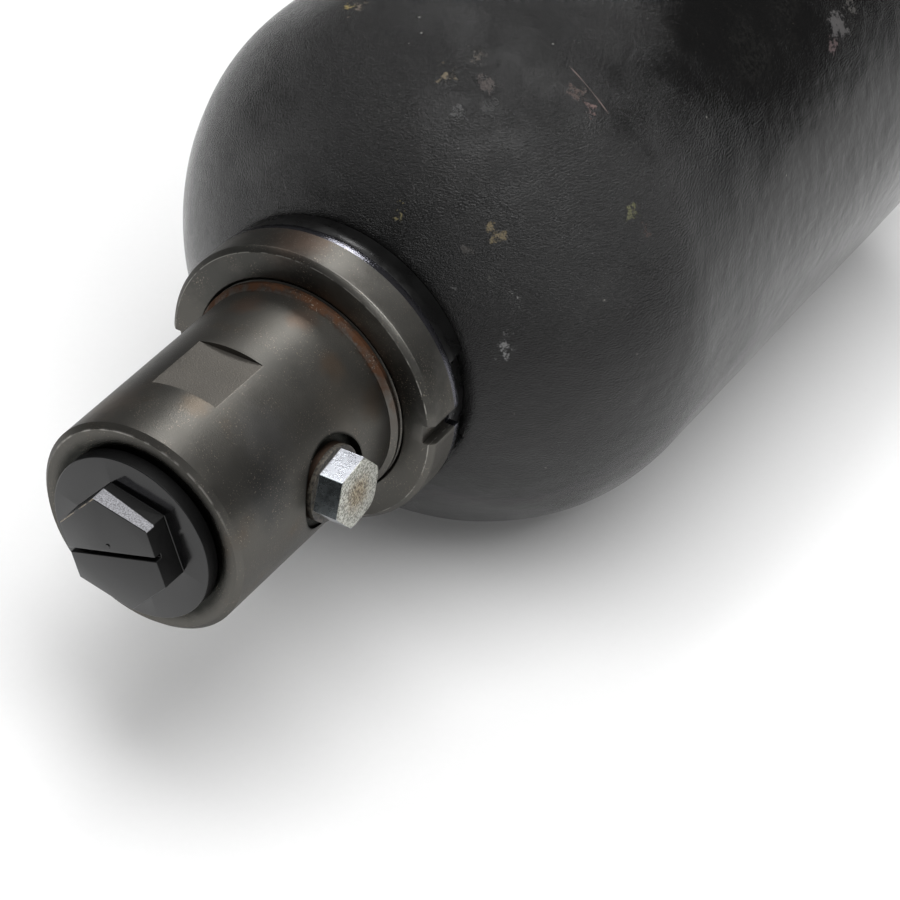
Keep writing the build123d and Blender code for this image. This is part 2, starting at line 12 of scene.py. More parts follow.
import bpy
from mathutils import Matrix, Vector

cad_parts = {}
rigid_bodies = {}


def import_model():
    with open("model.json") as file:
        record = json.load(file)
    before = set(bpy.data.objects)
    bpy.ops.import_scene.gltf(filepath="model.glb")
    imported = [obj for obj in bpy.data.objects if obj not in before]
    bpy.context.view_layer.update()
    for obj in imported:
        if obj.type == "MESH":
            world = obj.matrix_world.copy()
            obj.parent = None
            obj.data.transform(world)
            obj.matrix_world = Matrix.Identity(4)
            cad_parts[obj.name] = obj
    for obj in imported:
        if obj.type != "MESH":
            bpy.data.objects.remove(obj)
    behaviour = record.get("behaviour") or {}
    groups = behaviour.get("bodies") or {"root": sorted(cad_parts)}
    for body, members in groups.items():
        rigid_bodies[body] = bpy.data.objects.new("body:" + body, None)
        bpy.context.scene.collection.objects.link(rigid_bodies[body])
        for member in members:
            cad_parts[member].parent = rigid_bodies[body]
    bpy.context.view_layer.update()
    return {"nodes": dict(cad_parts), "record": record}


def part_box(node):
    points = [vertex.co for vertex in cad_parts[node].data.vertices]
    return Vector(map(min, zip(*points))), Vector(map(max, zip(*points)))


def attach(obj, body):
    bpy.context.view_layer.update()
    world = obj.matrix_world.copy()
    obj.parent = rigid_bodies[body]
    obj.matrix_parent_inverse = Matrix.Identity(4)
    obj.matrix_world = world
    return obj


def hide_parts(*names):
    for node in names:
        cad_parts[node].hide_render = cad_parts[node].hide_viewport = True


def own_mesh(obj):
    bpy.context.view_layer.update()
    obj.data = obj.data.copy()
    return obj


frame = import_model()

MM = 0.001
nodes = frame["nodes"]

# %% [markdown]
# ## The camera
# The camera was worked out from ellipses in the photograph: the rims of the port body and the nut are circles
# in reality, so their shapes in the picture give the viewing direction and the focal length. It looks down at
# 38 degrees, from the side of the bleed screw. No shift and no depth of field are needed.

# %% Camera
bpy.ops.object.select_all(action="DESELECT")
bpy.ops.object.camera_add(
    location=(0.46819, -0.57705, 0.60707), rotation=(radians(51.871), 0, radians(32.518))
)
camera = bpy.context.object
camera.name = "photo_camera"
camera.data.lens = 139.85
camera.data.sensor_width = 36
bpy.context.scene.camera = camera
bpy.context.scene.view_settings.view_transform = "Standard"
print("Camera looks along", tuple(round(v, 3) for v in camera.matrix_world.to_3x3() @ Vector((0, 0, -1))))

# %% [markdown]
# ## Building a finish
# A material is a small tree of nodes. These helpers keep each finish below short: one starts a tree, one adds
# a node and sets its inputs, and the others are the few patterns that all finishes share. Every pattern reads
# Object coordinates, which are metres here, so a scale of 1000 gives spots about a millimetre wide.


# %% Helpers for finishes
class Finish:
    """A node tree under construction, with its shader and its Object coordinates at hand."""

    def __init__(self, name, roughness, metallic=0.0, **sockets):
        self.material = bpy.data.materials.new(name)
        self.material.use_nodes = True
        self.tree = self.material.node_tree
        self.shader = self.tree.nodes["Principled BSDF"]
        self.shader.inputs["Roughness"].default_value = roughness
        self.shader.inputs["Metallic"].default_value = metallic
        for socket, value in sockets.items():
            self.shader.inputs[socket.replace("_", " ")].default_value = value
        self.place = self.add("ShaderNodeTexCoord").outputs["Object"]

    def add(self, kind, settings=None, **inputs):
        """One node. A value is set on the input of that name, and a socket is linked to it."""
        node = self.tree.nodes.new(kind)
        for key, value in (settings or {}).items():
            setattr(node, key, value)
        for key, value in inputs.items():
            socket = node.inputs[int(key[1:])] if key[0] == "i" and key[1:].isdigit() else node.inputs[key]
            if isinstance(value, bpy.types.NodeSocket):
                self.tree.links.new(value, socket)
            else:
                socket.default_value = value
        return node

    def noise(self, scale, detail=3.0, rough=0.5, place=None):
        pattern = {"Vector": place or self.place, "Scale": scale, "Detail": detail, "Roughness": rough}
        return self.add("ShaderNodeTexNoise", **pattern).outputs["Fac"]

    def step(self, value, start, end, low=0.0, high=1.0):
        """Maps start..end of a value smoothly to low..high."""
        node = self.add("ShaderNodeMapRange", {"interpolation_type": "SMOOTHSTEP"}, Value=value)
        for socket, number in (("From Min", start), ("From Max", end), ("To Min", low), ("To Max", high)):
            node.inputs[socket].default_value = number
        return node.outputs["Result"]

    def edge(self, value, start, end, low=0.0, high=1.0):
        """The same for a length, with the start and the end in millimetres."""
        return self.step(value, start * MM, end * MM, low, high)

    def maths(self, kind, first, second=0.0):
        """One sum with two values or sockets."""
        return self.add("ShaderNodeMath", {"operation": kind}, i0=first, i1=second).outputs["Value"]

    def vectors(self, kind, first, second=(0.0, 0.0, 0.0), **more):
        """The same for places and directions. It gives another one, or a length."""
        node = self.add("ShaderNodeVectorMath", {"operation": kind}, i0=first, i1=second, **more)
        return node.outputs["Value" if kind in ("DISTANCE", "LENGTH") else "Vector"]

    def times(self, first, *others):
        """The product of two or more values."""
        for other in others:
            first = self.maths("MULTIPLY", first, other)
        return first

    def blend(self, factor, first, second):
        """Mixes two colours, given as sockets or as red, green, blue."""
        first, second = (c if isinstance(c, bpy.types.NodeSocket) else (*c, 1.0) for c in (first, second))
        node = self.add("ShaderNodeMix", {"data_type": "RGBA"}, i0=factor, i6=first, i7=second)
        return node.outputs[2]

    def far(self, centre, place=None):
        """The distance from a place in millimetres."""
        return self.vectors("DISTANCE", place or self.place, [c * MM for c in centre])

    def spot(self, centre, radius, ragged, place=None):
        """A patch about a place in millimetres, with its edge broken up by a pattern."""
        broken = self.maths("SUBTRACT", self.far(centre, place), self.times(ragged, radius * MM))
        return self.step(broken, 0.6 * radius * MM, -0.3 * radius * MM)

    def along(self, degrees):
        """The distance from the main axis, measured in one direction square to it."""
        split = self.add("ShaderNodeSeparateXYZ", Vector=self.place).outputs
        turn = radians(degrees)
        sideways, upwards = self.times(split["X"], cos(turn)), self.times(split["Z"], sin(turn))
        return self.maths("ADD", sideways, upwards)

    def scratch(self, first, last, width):
        """A straight scratch between two places in millimetres."""
        first, last = (Vector(end) * MM for end in (first, last))
        middle, half = (first + last) / 2, (last - first).length / 2
        offset = self.vectors("SUBTRACT", self.place, middle)
        along = self.vectors("PROJECT", offset, last - first)
        beside = self.vectors("DISTANCE", offset, along)
        reach = self.vectors("LENGTH", along)
        return self.times(self.step(beside, width * MM, 0.0), self.step(reach, half, half * 0.7))

    def parts(self):
        """The three coordinates, and the distance from the main axis."""
        split = self.add("ShaderNodeSeparateXYZ", Vector=self.place).outputs
        flat = self.add("ShaderNodeCombineXYZ", X=split["X"], Y=0.0, Z=split["Z"]).outputs[0]
        radius = self.vectors("LENGTH", flat)
        return split["X"], split["Y"], split["Z"], radius, flat

    def rings(self, scale, radius, y, drift):
        """Tool marks of a lathe: lines around a cylinder and rings on a flat face."""
        track = self.add("ShaderNodeCombineXYZ", X=self.times(radius, scale),
                         Y=self.times(y, scale), Z=self.times(drift, 40.0)).outputs[0]
        return self.noise(1.0, 2.0, 0.6, track)

    def bump(self, height, depth, strength=1.0, under=None):
        """A bump of this depth in metres, on top of another bump if one is given."""
        node = self.add("ShaderNodeBump", Height=height, Distance=depth, Strength=strength)
        if under:
            self.tree.links.new(under, node.inputs["Normal"])
        return node.outputs["Normal"]

    def finish(self, colour=None, roughness=None, normal=None, metallic=None):
        """Links what was made to the shader and hands the material over."""
        links = {"Base Color": colour, "Roughness": roughness, "Normal": normal, "Metallic": metallic}
        for socket, value in links.items():
            if isinstance(value, bpy.types.NodeSocket):
                self.tree.links.new(value, self.shader.inputs[socket])
            elif value:
                self.shader.inputs[socket].default_value = (*value, 1.0)
        return self.material


def dress(piece, material):
    """Gives a piece one material all over."""
    piece.data.materials.clear()
    piece.data.materials.append(material)


# %% [markdown]
# ## The floor and the light
# The photograph shows the part cut out on white. A pale floor takes its place: to the camera and in
# reflections it glows a little, so that it reads as white, and it still takes the part's shadow.

# %% Floor
shell_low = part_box("shell")[0]
bpy.ops.object.select_all(action="DESELECT")
bpy.ops.mesh.primitive_plane_add(size=8, location=(0, 0, shell_low.z))
floor = bpy.context.object
floor.name = "studio_floor"
paper = Finish("white_paper", roughness=0.9, Specular_IOR_Level=0.1)
glow = paper.add("ShaderNodeEmission", Color=(1, 1, 1, 1), Strength=0.04)
rays = paper.add("ShaderNodeLightPath").outputs
seen = paper.maths("MAXIMUM", rays["Is Camera Ray"], rays["Is Glossy Ray"])
seen = paper.maths("MAXIMUM", seen, rays["Is Transmission Ray"])
dark = paper.add("ShaderNodeEmission", Color=(0, 0, 0, 1), Strength=0.0)
lit = paper.add("ShaderNodeMixShader", Fac=seen, i1=dark.outputs[0], i2=glow.outputs[0])
both = paper.add("ShaderNodeAddShader", i0=paper.shader.outputs[0], i1=lit.outputs[0])
paper.tree.links.new(both.outputs[0], paper.tree.nodes["Material Output"].inputs["Surface"])
dress(floor, paper.finish(colour=paper.blend(paper.noise(400.0), (0.80, 0.80, 0.80), (0.82, 0.82, 0.82))))
print("Floor at", round(shell_low.z, 4), "m, under the shell")

# %% [markdown]
# A studio lights glossy black things with large soft panels, because such a surface shows little but their
# reflections. The largest panel hangs above, a little to the right of the port. A small one behind gives the
# bright line on the nut, and a weak one on each side keeps the flanks from going black. The places come from
# the highlights in the photograph: each one says from which direction the light arrives.


# %% Lights
def panel(name, place, aim, size, power):
    """A soft light of this width and length at a place, turned to what it lights."""
    bpy.ops.object.select_all(action="DESELECT")
    direction = Vector(aim) - Vector(place)
    turn = direction.to_track_quat("-Z", "Y").to_euler()
    bpy.ops.object.light_add(type="AREA", location=place, rotation=turn)
    lamp = bpy.context.object
    lamp.name = name
    lamp.data.shape = "RECTANGLE"
    lamp.data.size, lamp.data.size_y = size
    lamp.data.energy = power
    print(f"{name}: {power} W at {place} m")


middle = (0.0, 0.12, 0.0)
panel("key_light", (-0.28, 1.16, 1.20), middle, (0.44, 0.44), 7.0)
panel("overhead_light", (0.44, -0.06, 1.42), (0.0, 0.10, 0.0), (0.90, 1.80), 30.0)
panel("left_light", (-0.75, 0.10, 1.20), middle, (0.70, 1.20), 3.6)
panel("right_light", (1.20, -0.22, 0.74), middle, (0.95, 0.80), 3.2)

world = bpy.data.worlds.new("studio_air")
bpy.context.scene.world = world
world.use_nodes = True
world.node_tree.nodes["Background"].inputs["Color"].default_value = (1, 1, 1, 1)
world.node_tree.nodes["Background"].inputs["Strength"].default_value = 0.15

# %% [markdown]
# ## Turned pieces
# Nearly everything on an accumulator is turned on a lathe. So one helper does what a lathe does: it draws
# half of the section as a chain of points beside the axis, by extruding a single vertex, closes the chain and
# spins it once around.

# %% Turning
SIDES = 192


def settle():
    """Works the active piece's place, turn and scale into its mesh."""
    bpy.ops.object.transform_apply(location=True, rotation=True, scale=True)


def turned(name, outline, sides=SIDES, angle=2 * pi, first=0.0):
    """Spins an outline of (radius, place along the axis), in millimetres, about the main axis."""
    bpy.ops.object.select_all(action="DESELECT")
    bpy.ops.mesh.primitive_plane_add(size=MM, location=(0, 0, 0))
    piece = bpy.context.object
    piece.name = name
    bpy.ops.object.mode_set(mode="EDIT")
    bpy.ops.mesh.merge(type="CENTER")
    bpy.ops.transform.translate(value=(outline[0][0] * MM, outline[0][1] * MM, 0))
    for (r0, y0), (r1, y1) in zip(outline, outline[1:]):
        move = {"value": ((r1 - r0) * MM, (y1 - y0) * MM, 0)}
        bpy.ops.mesh.extrude_vertices_move(TRANSFORM_OT_translate=move)
    bpy.ops.mesh.select_all(action="SELECT")
    bpy.ops.mesh.remove_doubles(threshold=0.001 * MM)
    if angle < 2 * pi:
        bpy.ops.mesh.edge_face_add()
        bpy.ops.transform.rotate(value=first, orient_axis="Y", center_override=(0, 0, 0))
    bpy.ops.mesh.spin(steps=sides, angle=angle, center=(0, 0, 0), axis=(0, 1, 0))
    bpy.ops.mesh.select_all(action="SELECT")
    bpy.ops.mesh.remove_doubles(threshold=0.001 * MM)
    bpy.ops.mesh.normals_make_consistent(inside=False)
    bpy.ops.object.mode_set(mode="OBJECT")
    return piece


def ring(name, inner, outer, front, rear, **how):
    """A plain ring between two radii and two places, in millimetres."""
    return turned(name, [(inner, front), (outer, front), (outer, rear), (inner, rear), (inner, front)], **how)


print("Turned pieces have", SIDES, "sides")

# %% [markdown]
# ## Hexagons and blocks
# What isn't turned here is a hexagon or a cutter with flat sides. A hexagon is a cone with six sides, so that
# it can also narrow a little, as a moulded one does.


# %% Hexagons and blocks
def prism(name, across, start, length, turn=0.0, axis="Y", taper=0.0):
    """A hexagon with a corner at this turn: its width across flats, start, length and taper in millimetres."""
    bpy.ops.object.select_all(action="DESELECT")
    radius = across / 2 / cos(pi / 6) * MM
    bpy.ops.mesh.primitive_cone_add(
        vertices=6, radius1=radius, radius2=radius + taper / cos(pi / 6) * MM, depth=length * MM
    )
    piece = bpy.context.object
    piece.name = name
    piece.rotation_euler = {"Y": (-pi / 2, 0, 0), "X": (0, pi / 2, 0)}[axis]
    settle()
    piece.rotation_euler = (0, -turn - pi / 2, 0) if axis == "Y" else (turn, 0, 0)
    middle = (start + length / 2) * MM
    piece.location = (0, middle, 0) if axis == "Y" else (middle, 0, 0)
    settle()
    return piece


def block(name, low, high):
    """A box between two corners in millimetres."""
    bpy.ops.object.select_all(action="DESELECT")
    middle = [(a + b) / 2 * MM for a, b in zip(low, high)]
    bpy.ops.mesh.primitive_cube_add(size=1, location=middle, scale=[(b - a) * MM for a, b in zip(low, high)])
    piece = bpy.context.object
    piece.name = name
    settle()
    return piece


# %% [markdown]
# ## Cutting and rounding
# A mill takes material away where its cutter goes, and a boolean does the same with a tool's shape. What
# repeats around the axis is made once and copied. At the end the sharp edges are rounded a little, because no
# real edge is perfectly sharp, and the rounding catches the light. The clamp keeps roundings from running into
# each other, so the shortest edge of a mesh limits them all. The cuts leave such short edges on the port body
# and on the nut of the gas valve that their edges stay as good as sharp.


# %% Cutting and rounding
def apply_modifier(piece, kind, **settings):
    """Adds a modifier with these settings and works it into the mesh."""
    bpy.ops.object.select_all(action="DESELECT")
    piece.select_set(True)
    bpy.context.view_layer.objects.active = piece
    modifier = piece.modifiers.new(kind.lower(), kind)
    for key, value in settings.items():
        setattr(modifier, key, value)
    bpy.ops.object.modifier_apply(modifier=modifier.name)


def carve(piece, tools, how="DIFFERENCE"):
    """Cuts tools off a piece, adds them to it or keeps what they share, and throws the tools away."""
    for tool in tools:
        apply_modifier(piece, "BOOLEAN", operation=how, solver="EXACT", object=tool)
        bpy.data.objects.remove(tool)


def soften(piece, width, segments=2, sharp=30):
    """Rounds the edges by up to this width in millimetres and shades the rest smoothly."""
    apply_modifier(
        piece, "BEVEL", width=width * MM, segments=segments, limit_method="ANGLE", angle_limit=radians(sharp),
        harden_normals=False, use_clamp_overlap=True,
    )
    bpy.ops.object.shade_smooth_by_angle(angle=radians(sharp))


def around_axis(tool, count):
    """Copies a tool around the main axis, each copy with its own mesh."""
    tools = [tool]
    for i in range(1, count):
        bpy.ops.object.select_all(action="DESELECT")
        tool.select_set(True)
        bpy.context.view_layer.objects.active = tool
        bpy.ops.object.duplicate(linked=False)
        copy = bpy.context.object
        copy.rotation_euler = (0, 2 * pi * i / count, 0)
        settle()
        tools.append(copy)
    return tools


# %% [markdown]
# ## Taking a solid's place
# Each modelled piece stands in for one solid. It rides on the body that the solid belongs to, so that it moves
# with its joint, and its main sizes are read off the solid, so that both stay in the same place.


# %% Taking a solid's place
def report(piece):
    """Prints how large a piece came out."""
    low = [round(min(v.co[i] for v in piece.data.vertices) / MM, 1) for i in range(3)]
    high = [round(max(v.co[i] for v in piece.data.vertices) / MM, 1) for i in range(3)]
    print(f"{piece.name}: {len(piece.data.polygons)} faces, from {low} to {high} mm")


def stand_in(piece, node, body="vessel"):
    """The piece takes a solid's place, which is hidden, rides on its body and reports its size."""
    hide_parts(node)
    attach(piece, body)
    report(piece)


def reach(node):
    """Outer radius, front and rear of a turned solid, in millimetres."""
    low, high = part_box(node)
    return max(high.x, high.z) / MM, low.y / MM, high.y / MM


# %% [markdown]
# ## The shell
# A shell like this starts as a steel tube, whose ends are heated and pressed into heads with a neck. Its
# heads are half ellipsoids. The section is drawn with its real wall, so that the neck's bore is open where
# the port body goes through.

# %% Shell
WALL = 7.0
HEAD = 74.0
NECK_RADIUS = 45.2
NECK_BORE = 40.0
NECK_LENGTH = 14.5
GAS_RADIUS = 30.0
GAS_BORE = 12.0
GAS_NECK_LENGTH = 14.0

shell_radius, neck_face, gas_face = reach("shell")
barrel_front = neck_face + HEAD * sin(acos(NECK_RADIUS / shell_radius))
barrel_rear = gas_face - HEAD * sin(acos(GAS_RADIUS / shell_radius))


def head(radius, depth, centre, first, last, count):
    """Points of an ellipse between two of its angles. Angles below zero lie towards the port."""
    angles = [first + (last - first) * i / (count - 1) for i in range(count)]
    return [(radius * cos(a), centre + depth * sin(a)) for a in angles]


def shell_section():
    """The outside from the port to the gas end, then the inside back to the port."""
    inner_radius = shell_radius - WALL
    inner_depth = HEAD - WALL
    neck_end = neck_face + NECK_LENGTH
    gas_start = gas_face - GAS_NECK_LENGTH
    outside = head(shell_radius, HEAD, barrel_front, -acos(NECK_RADIUS / shell_radius), 0, 44)
    outside += [(shell_radius, barrel_front + (barrel_rear - barrel_front) * i / 48) for i in range(1, 48)]
    outside += head(shell_radius, HEAD, barrel_rear, 0, acos(GAS_RADIUS / shell_radius), 48)
    gas_hole = [(GAS_BORE, gas_face), (GAS_BORE, gas_start)]
    rear = head(inner_radius, inner_depth, barrel_rear, asin((gas_start - barrel_rear) / inner_depth), 0, 14)
    front = head(inner_radius, inner_depth, barrel_front, 0, asin((neck_end - barrel_front) / inner_depth), 14)
    neck = [(NECK_BORE, neck_end), (NECK_BORE, neck_face), (NECK_RADIUS, neck_face)]
    return outside + gas_hole + rear + front + neck


shell = turned("forged_shell", shell_section(), sides=240)
print("Barrel from", round(barrel_front, 1), "to", round(barrel_rear, 1), "mm")

# %% [markdown]
# The surface of a forging is never quite even, so a displacement by a slow noise moves the outside inwards by
# a few tenths of a millimetre. Near the two necks, which are machined, it fades. A vertex group says how much
# of it each vertex of the outside gets.

# %% Uneven skin of the shell
forged = shell.vertex_groups.new(name="forged")
FADE = 12.0
for vertex in shell.data.vertices:
    radius = (vertex.co.x ** 2 + vertex.co.z ** 2) ** 0.5 / MM
    place = vertex.co.y / MM
    curve = min(1.0, (place - neck_face) / FADE, (gas_face - place) / FADE)
    past_barrel = max(0.0, barrel_front - place, place - barrel_rear)
    outer_radius = shell_radius * (1 - min(1.0, past_barrel / HEAD) ** 2) ** 0.5
    if radius > outer_radius - 1.0 and curve > 0:
        forged.add([vertex.index], curve, "REPLACE")
unevenness = bpy.data.textures.new("forging_unevenness", "CLOUDS")
unevenness.noise_scale = 0.045
unevenness.noise_depth = 2
apply_modifier(
    shell, "DISPLACE", texture=unevenness, strength=-0.9 * MM, mid_level=0.0, vertex_group="forged",
    texture_coords="LOCAL",
)
soften(shell, 0.5, sharp=35)
stand_in(shell, "shell")

# %% [markdown]
# ## The port body
# The port body is turned from bar. Its section has the port, the web with the bush, the chamber with the
# poppet's seat and the flange that holds it inside the neck. A little of its thread shows in front of the nut.

# %% Port body
BODY_CHAMFER = 1.5
THREAD_PITCH = 2.0
THREAD_DEPTH = 1.1
PORT_RADIUS = 20.5
CHAMBER_RADIUS = 24.0
WEB = (50.0, 64.0)
BUSH_RADIUS = 7.5
FLOW_RADIUS = 4.6
FLOW_CIRCLE = 14.9
FLATS = 63.5
FLAT_SPAN = (22.5, 45.0)
BLEED_PLACE = 45.0
BLEED_BORE = 14.0
BLEED_FLOOR = 30.0
BLEED_HOLE_RADIUS = 5.6
VENT_RADIUS = 2.5
VENT_START = 15.0
CONE = (22.0, 25.0)  # where the screw's tip seals, as distances from the main axis
CLEAR = 60.0  # outside of every piece around the port, for cutters

flange_radius, _, body_rear = reach("fluid_port_body")
nut_radius, nut_front, nut_rear = reach("lock_nut")
BODY_RADIUS = 33.5
THREAD_RADIUS = 35.0
STEP_PLACE = 73.5
FLANGE_PLACE = 121.0


def thread(radius, front, rear, pitch, depth):
    """Points of thread ridges along a shaft, from front to rear."""
    count = int((rear - front) / pitch)
    points = []
    for i in range(count):
        crest = front + (i + 0.5) * pitch
        points += [(radius - depth, crest - pitch * 0.45), (radius, crest - pitch * 0.1)]
        points += [(radius, crest + pitch * 0.1), (radius - depth, crest + pitch * 0.45)]
    return points


def body_section():
    """The outside from the front face to the flange, then the inside back to the front."""
    outside = [(PORT_RADIUS + 1, 0), (BODY_RADIUS - BODY_CHAMFER, 0), (BODY_RADIUS, BODY_CHAMFER)]
    outside += [(BODY_RADIUS, BODY_CHAMFER + (STEP_PLACE - BODY_CHAMFER) * i / 32) for i in range(1, 33)]
    outside += [(THREAD_RADIUS, STEP_PLACE + 1.5), (THREAD_RADIUS, nut_front - 0.6)]
    outside += thread(THREAD_RADIUS, nut_front - 0.4, nut_front + 3.6, THREAD_PITCH, THREAD_DEPTH)
    outside += [(THREAD_RADIUS, nut_front + 4), (THREAD_RADIUS, FLANGE_PLACE)]
    flange = [(flange_radius, FLANGE_PLACE), (flange_radius, body_rear - 1), (flange_radius - 1, body_rear)]
    seat = [(CHAMBER_RADIUS + 6, body_rear), (CHAMBER_RADIUS, body_rear - 6), (CHAMBER_RADIUS, WEB[1])]
    web = [(BUSH_RADIUS, WEB[1]), (BUSH_RADIUS, WEB[0]), (PORT_RADIUS - 0.5, WEB[0])]
    port = [(PORT_RADIUS - 0.5, 24), (PORT_RADIUS, 24), (PORT_RADIUS, 1), (PORT_RADIUS + 1, 0)]
    return outside + flange + seat + web + port


port_body = turned("port_body", body_section())
print("Port body turned, thread from", STEP_PLACE, "to", FLANGE_PLACE, "mm")

# %% [markdown]
# The turned body goes to the mill for its two flats. The counterbore and the hole of the bleed screw are
# turned shapes about their own axis, so they are spun and laid over before they are cut out. The six flow
# holes are one cylinder, copied around the axis.


# %% Cuts in the port body
def turned_about_bleed(name, outline):
    """A turned piece on the bleed screw's axis: its outline is (radius, distance from the main axis)."""
    piece = turned(name, outline, sides=64)
    piece.rotation_euler = (0, 0, -pi / 2)
    piece.location = (0, BLEED_PLACE * MM, 0)
    settle()
    return piece


flats = [
    block("upper_flat_cutter", (-40, FLAT_SPAN[0], FLATS / 2), (40, FLAT_SPAN[1], CLEAR)),
    block("lower_flat_cutter", (-40, FLAT_SPAN[0], -CLEAR), (40, FLAT_SPAN[1], -FLATS / 2)),
]
bore = turned_about_bleed("bore_cutter", [
    (0, BLEED_FLOOR), (BLEED_BORE, BLEED_FLOOR), (BLEED_BORE, BLEED_FLOOR + 10), (0, BLEED_FLOOR + 10),
])
thread_hole = turned_about_bleed("thread_cutter", [
    (0, VENT_START), (VENT_RADIUS, VENT_START), (VENT_RADIUS, CONE[0]), (BLEED_HOLE_RADIUS, CONE[1]),
    (BLEED_HOLE_RADIUS, BLEED_FLOOR + 1), (0, BLEED_FLOOR + 1),
])
flow_hole = turned("flow_cutter", [
    (0, WEB[0] - 1), (FLOW_RADIUS, WEB[0] - 1), (FLOW_RADIUS, WEB[1] + 1), (0, WEB[1] + 1),
], sides=32)
flow_hole.location = (FLOW_CIRCLE * MM, 0, 0)
settle()
carve(port_body, flats + [bore, thread_hole] + around_axis(flow_hole, 6))
soften(port_body, 0.25, sharp=13)
stand_in(port_body, "fluid_port_body")

# %% [markdown]
# ## The lock nut
# The nut is a plain ring with two slots for a hook spanner. Its front edge has a wide chamfer, which catches
# the light as a bright line. It is turned as one section, and a milling cutter would take out the slots, so
# two blocks do that here.

# %% Lock nut
NUT_BORE = 35.05
NUT_CHAMFER = 1.55
SLOT_WIDTH = 6.3
SLOT_DEPTH = 3.5

band_front = nut_front + NUT_CHAMFER
nut = turned("lock_nut_ring", [
    (NUT_BORE + 0.8, nut_front), (nut_radius - NUT_CHAMFER, nut_front), (nut_radius, band_front),
    *[(nut_radius, band_front + (nut_rear - band_front) * i / 8) for i in range(1, 9)],
    (NUT_BORE, nut_rear), (NUT_BORE, nut_front + 0.8), (NUT_BORE + 0.8, nut_front),
])
slot_floor = nut_radius - SLOT_DEPTH
carve(nut, [
    block("right_slot_cutter", (slot_floor, nut_front - 1, -SLOT_WIDTH / 2),
          (CLEAR, nut_rear + 1, SLOT_WIDTH / 2)),
    block("left_slot_cutter", (-CLEAR, nut_front - 1, -SLOT_WIDTH / 2),
          (-slot_floor, nut_rear + 1, SLOT_WIDTH / 2)),
])
soften(nut, 0.18)
stand_in(nut, "lock_nut")

# %% [markdown]
# ## The spacer ring
# Between the nut and the shell sits a black ring with a step, whose spigot closes the gap in the neck. A recess
# runs over a part of its circle. It is cut with a piece of a ring, because a milling cutter that goes round the
# axis leaves that shape.

# %% Spacer ring
LAND_RADIUS = 45.3
LAND_LENGTH = 3.8
COLLAR_RADIUS = 44.7
RECESS_RADIUS = 42.0
RECESS_START = -20.0
RECESS_ANGLE = 41.0
SPACER_BORE = 35.1
SPIGOT_RADIUS = 39.9

_, spacer_front, spacer_rear = reach("spacer_ring")
land_rear = spacer_front + LAND_LENGTH
spacer = turned("neck_spacer", [
    (SPACER_BORE, spacer_front), (LAND_RADIUS, spacer_front), (LAND_RADIUS, land_rear),
    (COLLAR_RADIUS, land_rear), (COLLAR_RADIUS, neck_face), (SPIGOT_RADIUS, neck_face),
    (SPIGOT_RADIUS, spacer_rear), (SPACER_BORE, spacer_rear), (SPACER_BORE, spacer_front),
])
recess = ring("recess_cutter", RECESS_RADIUS, CLEAR, spacer_front - 1, neck_face + 0.5, sides=40,
              angle=radians(RECESS_ANGLE), first=radians(RECESS_START))
carve(spacer, [recess])
soften(spacer, 0.3)
stand_in(spacer, "spacer_ring")

# %% [markdown]
# ## The bleed screw
# The bleed screw has a hexagon head whose corners are turned off by a cone, a round collar and a thread that
# ends in a cone. The head is a six-sided prism, and the part that it shares with a turned blank has the
# turned-off corners. Collar and thread are then added to it.

# %% Bleed screw
BLEED_ACROSS = 19.0
BLEED_TURN = 11.5
HEAD_START = 33.5
HEAD_END = 41.5
COLLAR_START = 32.0
SCREW_COLLAR_RADIUS = 11.5
SCREW_RADIUS = 5.55
TIP_GAP = 0.1
CORNER_TURN_OFF = 0.6

corner = BLEED_ACROSS / 3 ** 0.5  # from the middle of the hexagon to a corner
head_piece = prism("bleed_hexagon_screw", BLEED_ACROSS, HEAD_START, HEAD_END - HEAD_START,
                   radians(BLEED_TURN), "X")
head_piece.location = (0, BLEED_PLACE * MM, 0)
settle()
blank = turned_about_bleed("blank", [
    (0, HEAD_START - 1), (corner + 0.5, HEAD_START - 1), (corner + 0.5, HEAD_END - CORNER_TURN_OFF),
    (corner - 3 ** 0.5 * CORNER_TURN_OFF, HEAD_END), (0, HEAD_END),
])
carve(head_piece, [blank], "INTERSECT")
shank = turned_about_bleed("shank", [
    (0, CONE[0] + TIP_GAP), (VENT_RADIUS, CONE[0] + TIP_GAP), (SCREW_RADIUS, CONE[1] + TIP_GAP),
    (SCREW_RADIUS, COLLAR_START), (SCREW_COLLAR_RADIUS, COLLAR_START),
    (SCREW_COLLAR_RADIUS, HEAD_START + 0.01), (0, HEAD_START + 0.01),
])
carve(head_piece, [shank], "UNION")
soften(head_piece, 0.22, sharp=25)
stand_in(head_piece, "bleed_screw", "bleed_valve")

# %% [markdown]
# ## The transport plug
# A moulded plug closes the port until the part is built in. It has a flange, a hexagon head with one slot for
# a screwdriver and a small pip where the plastic flowed in. It is hollow behind.

# %% Transport plug
FLANGE_RADIUS = 26.0
FLANGE_FRONT = -4.6
HEAD_FRONT = -12.8
PLUG_ACROSS = 31.2
PLUG_TURN = -12.3
PLUG_DRAFT = 0.1
PLUG_SLOT = 1.3
PLUG_SLOT_DEPTH = 2.4
SHANK_RADIUS = 20.45
SHANK_END = 14.0
PLUG_WALL = 3.0
PIP_PLACE = (-1.3, 2.4)
PIP_RADIUS = 0.9
PIP_HEIGHT = 0.3

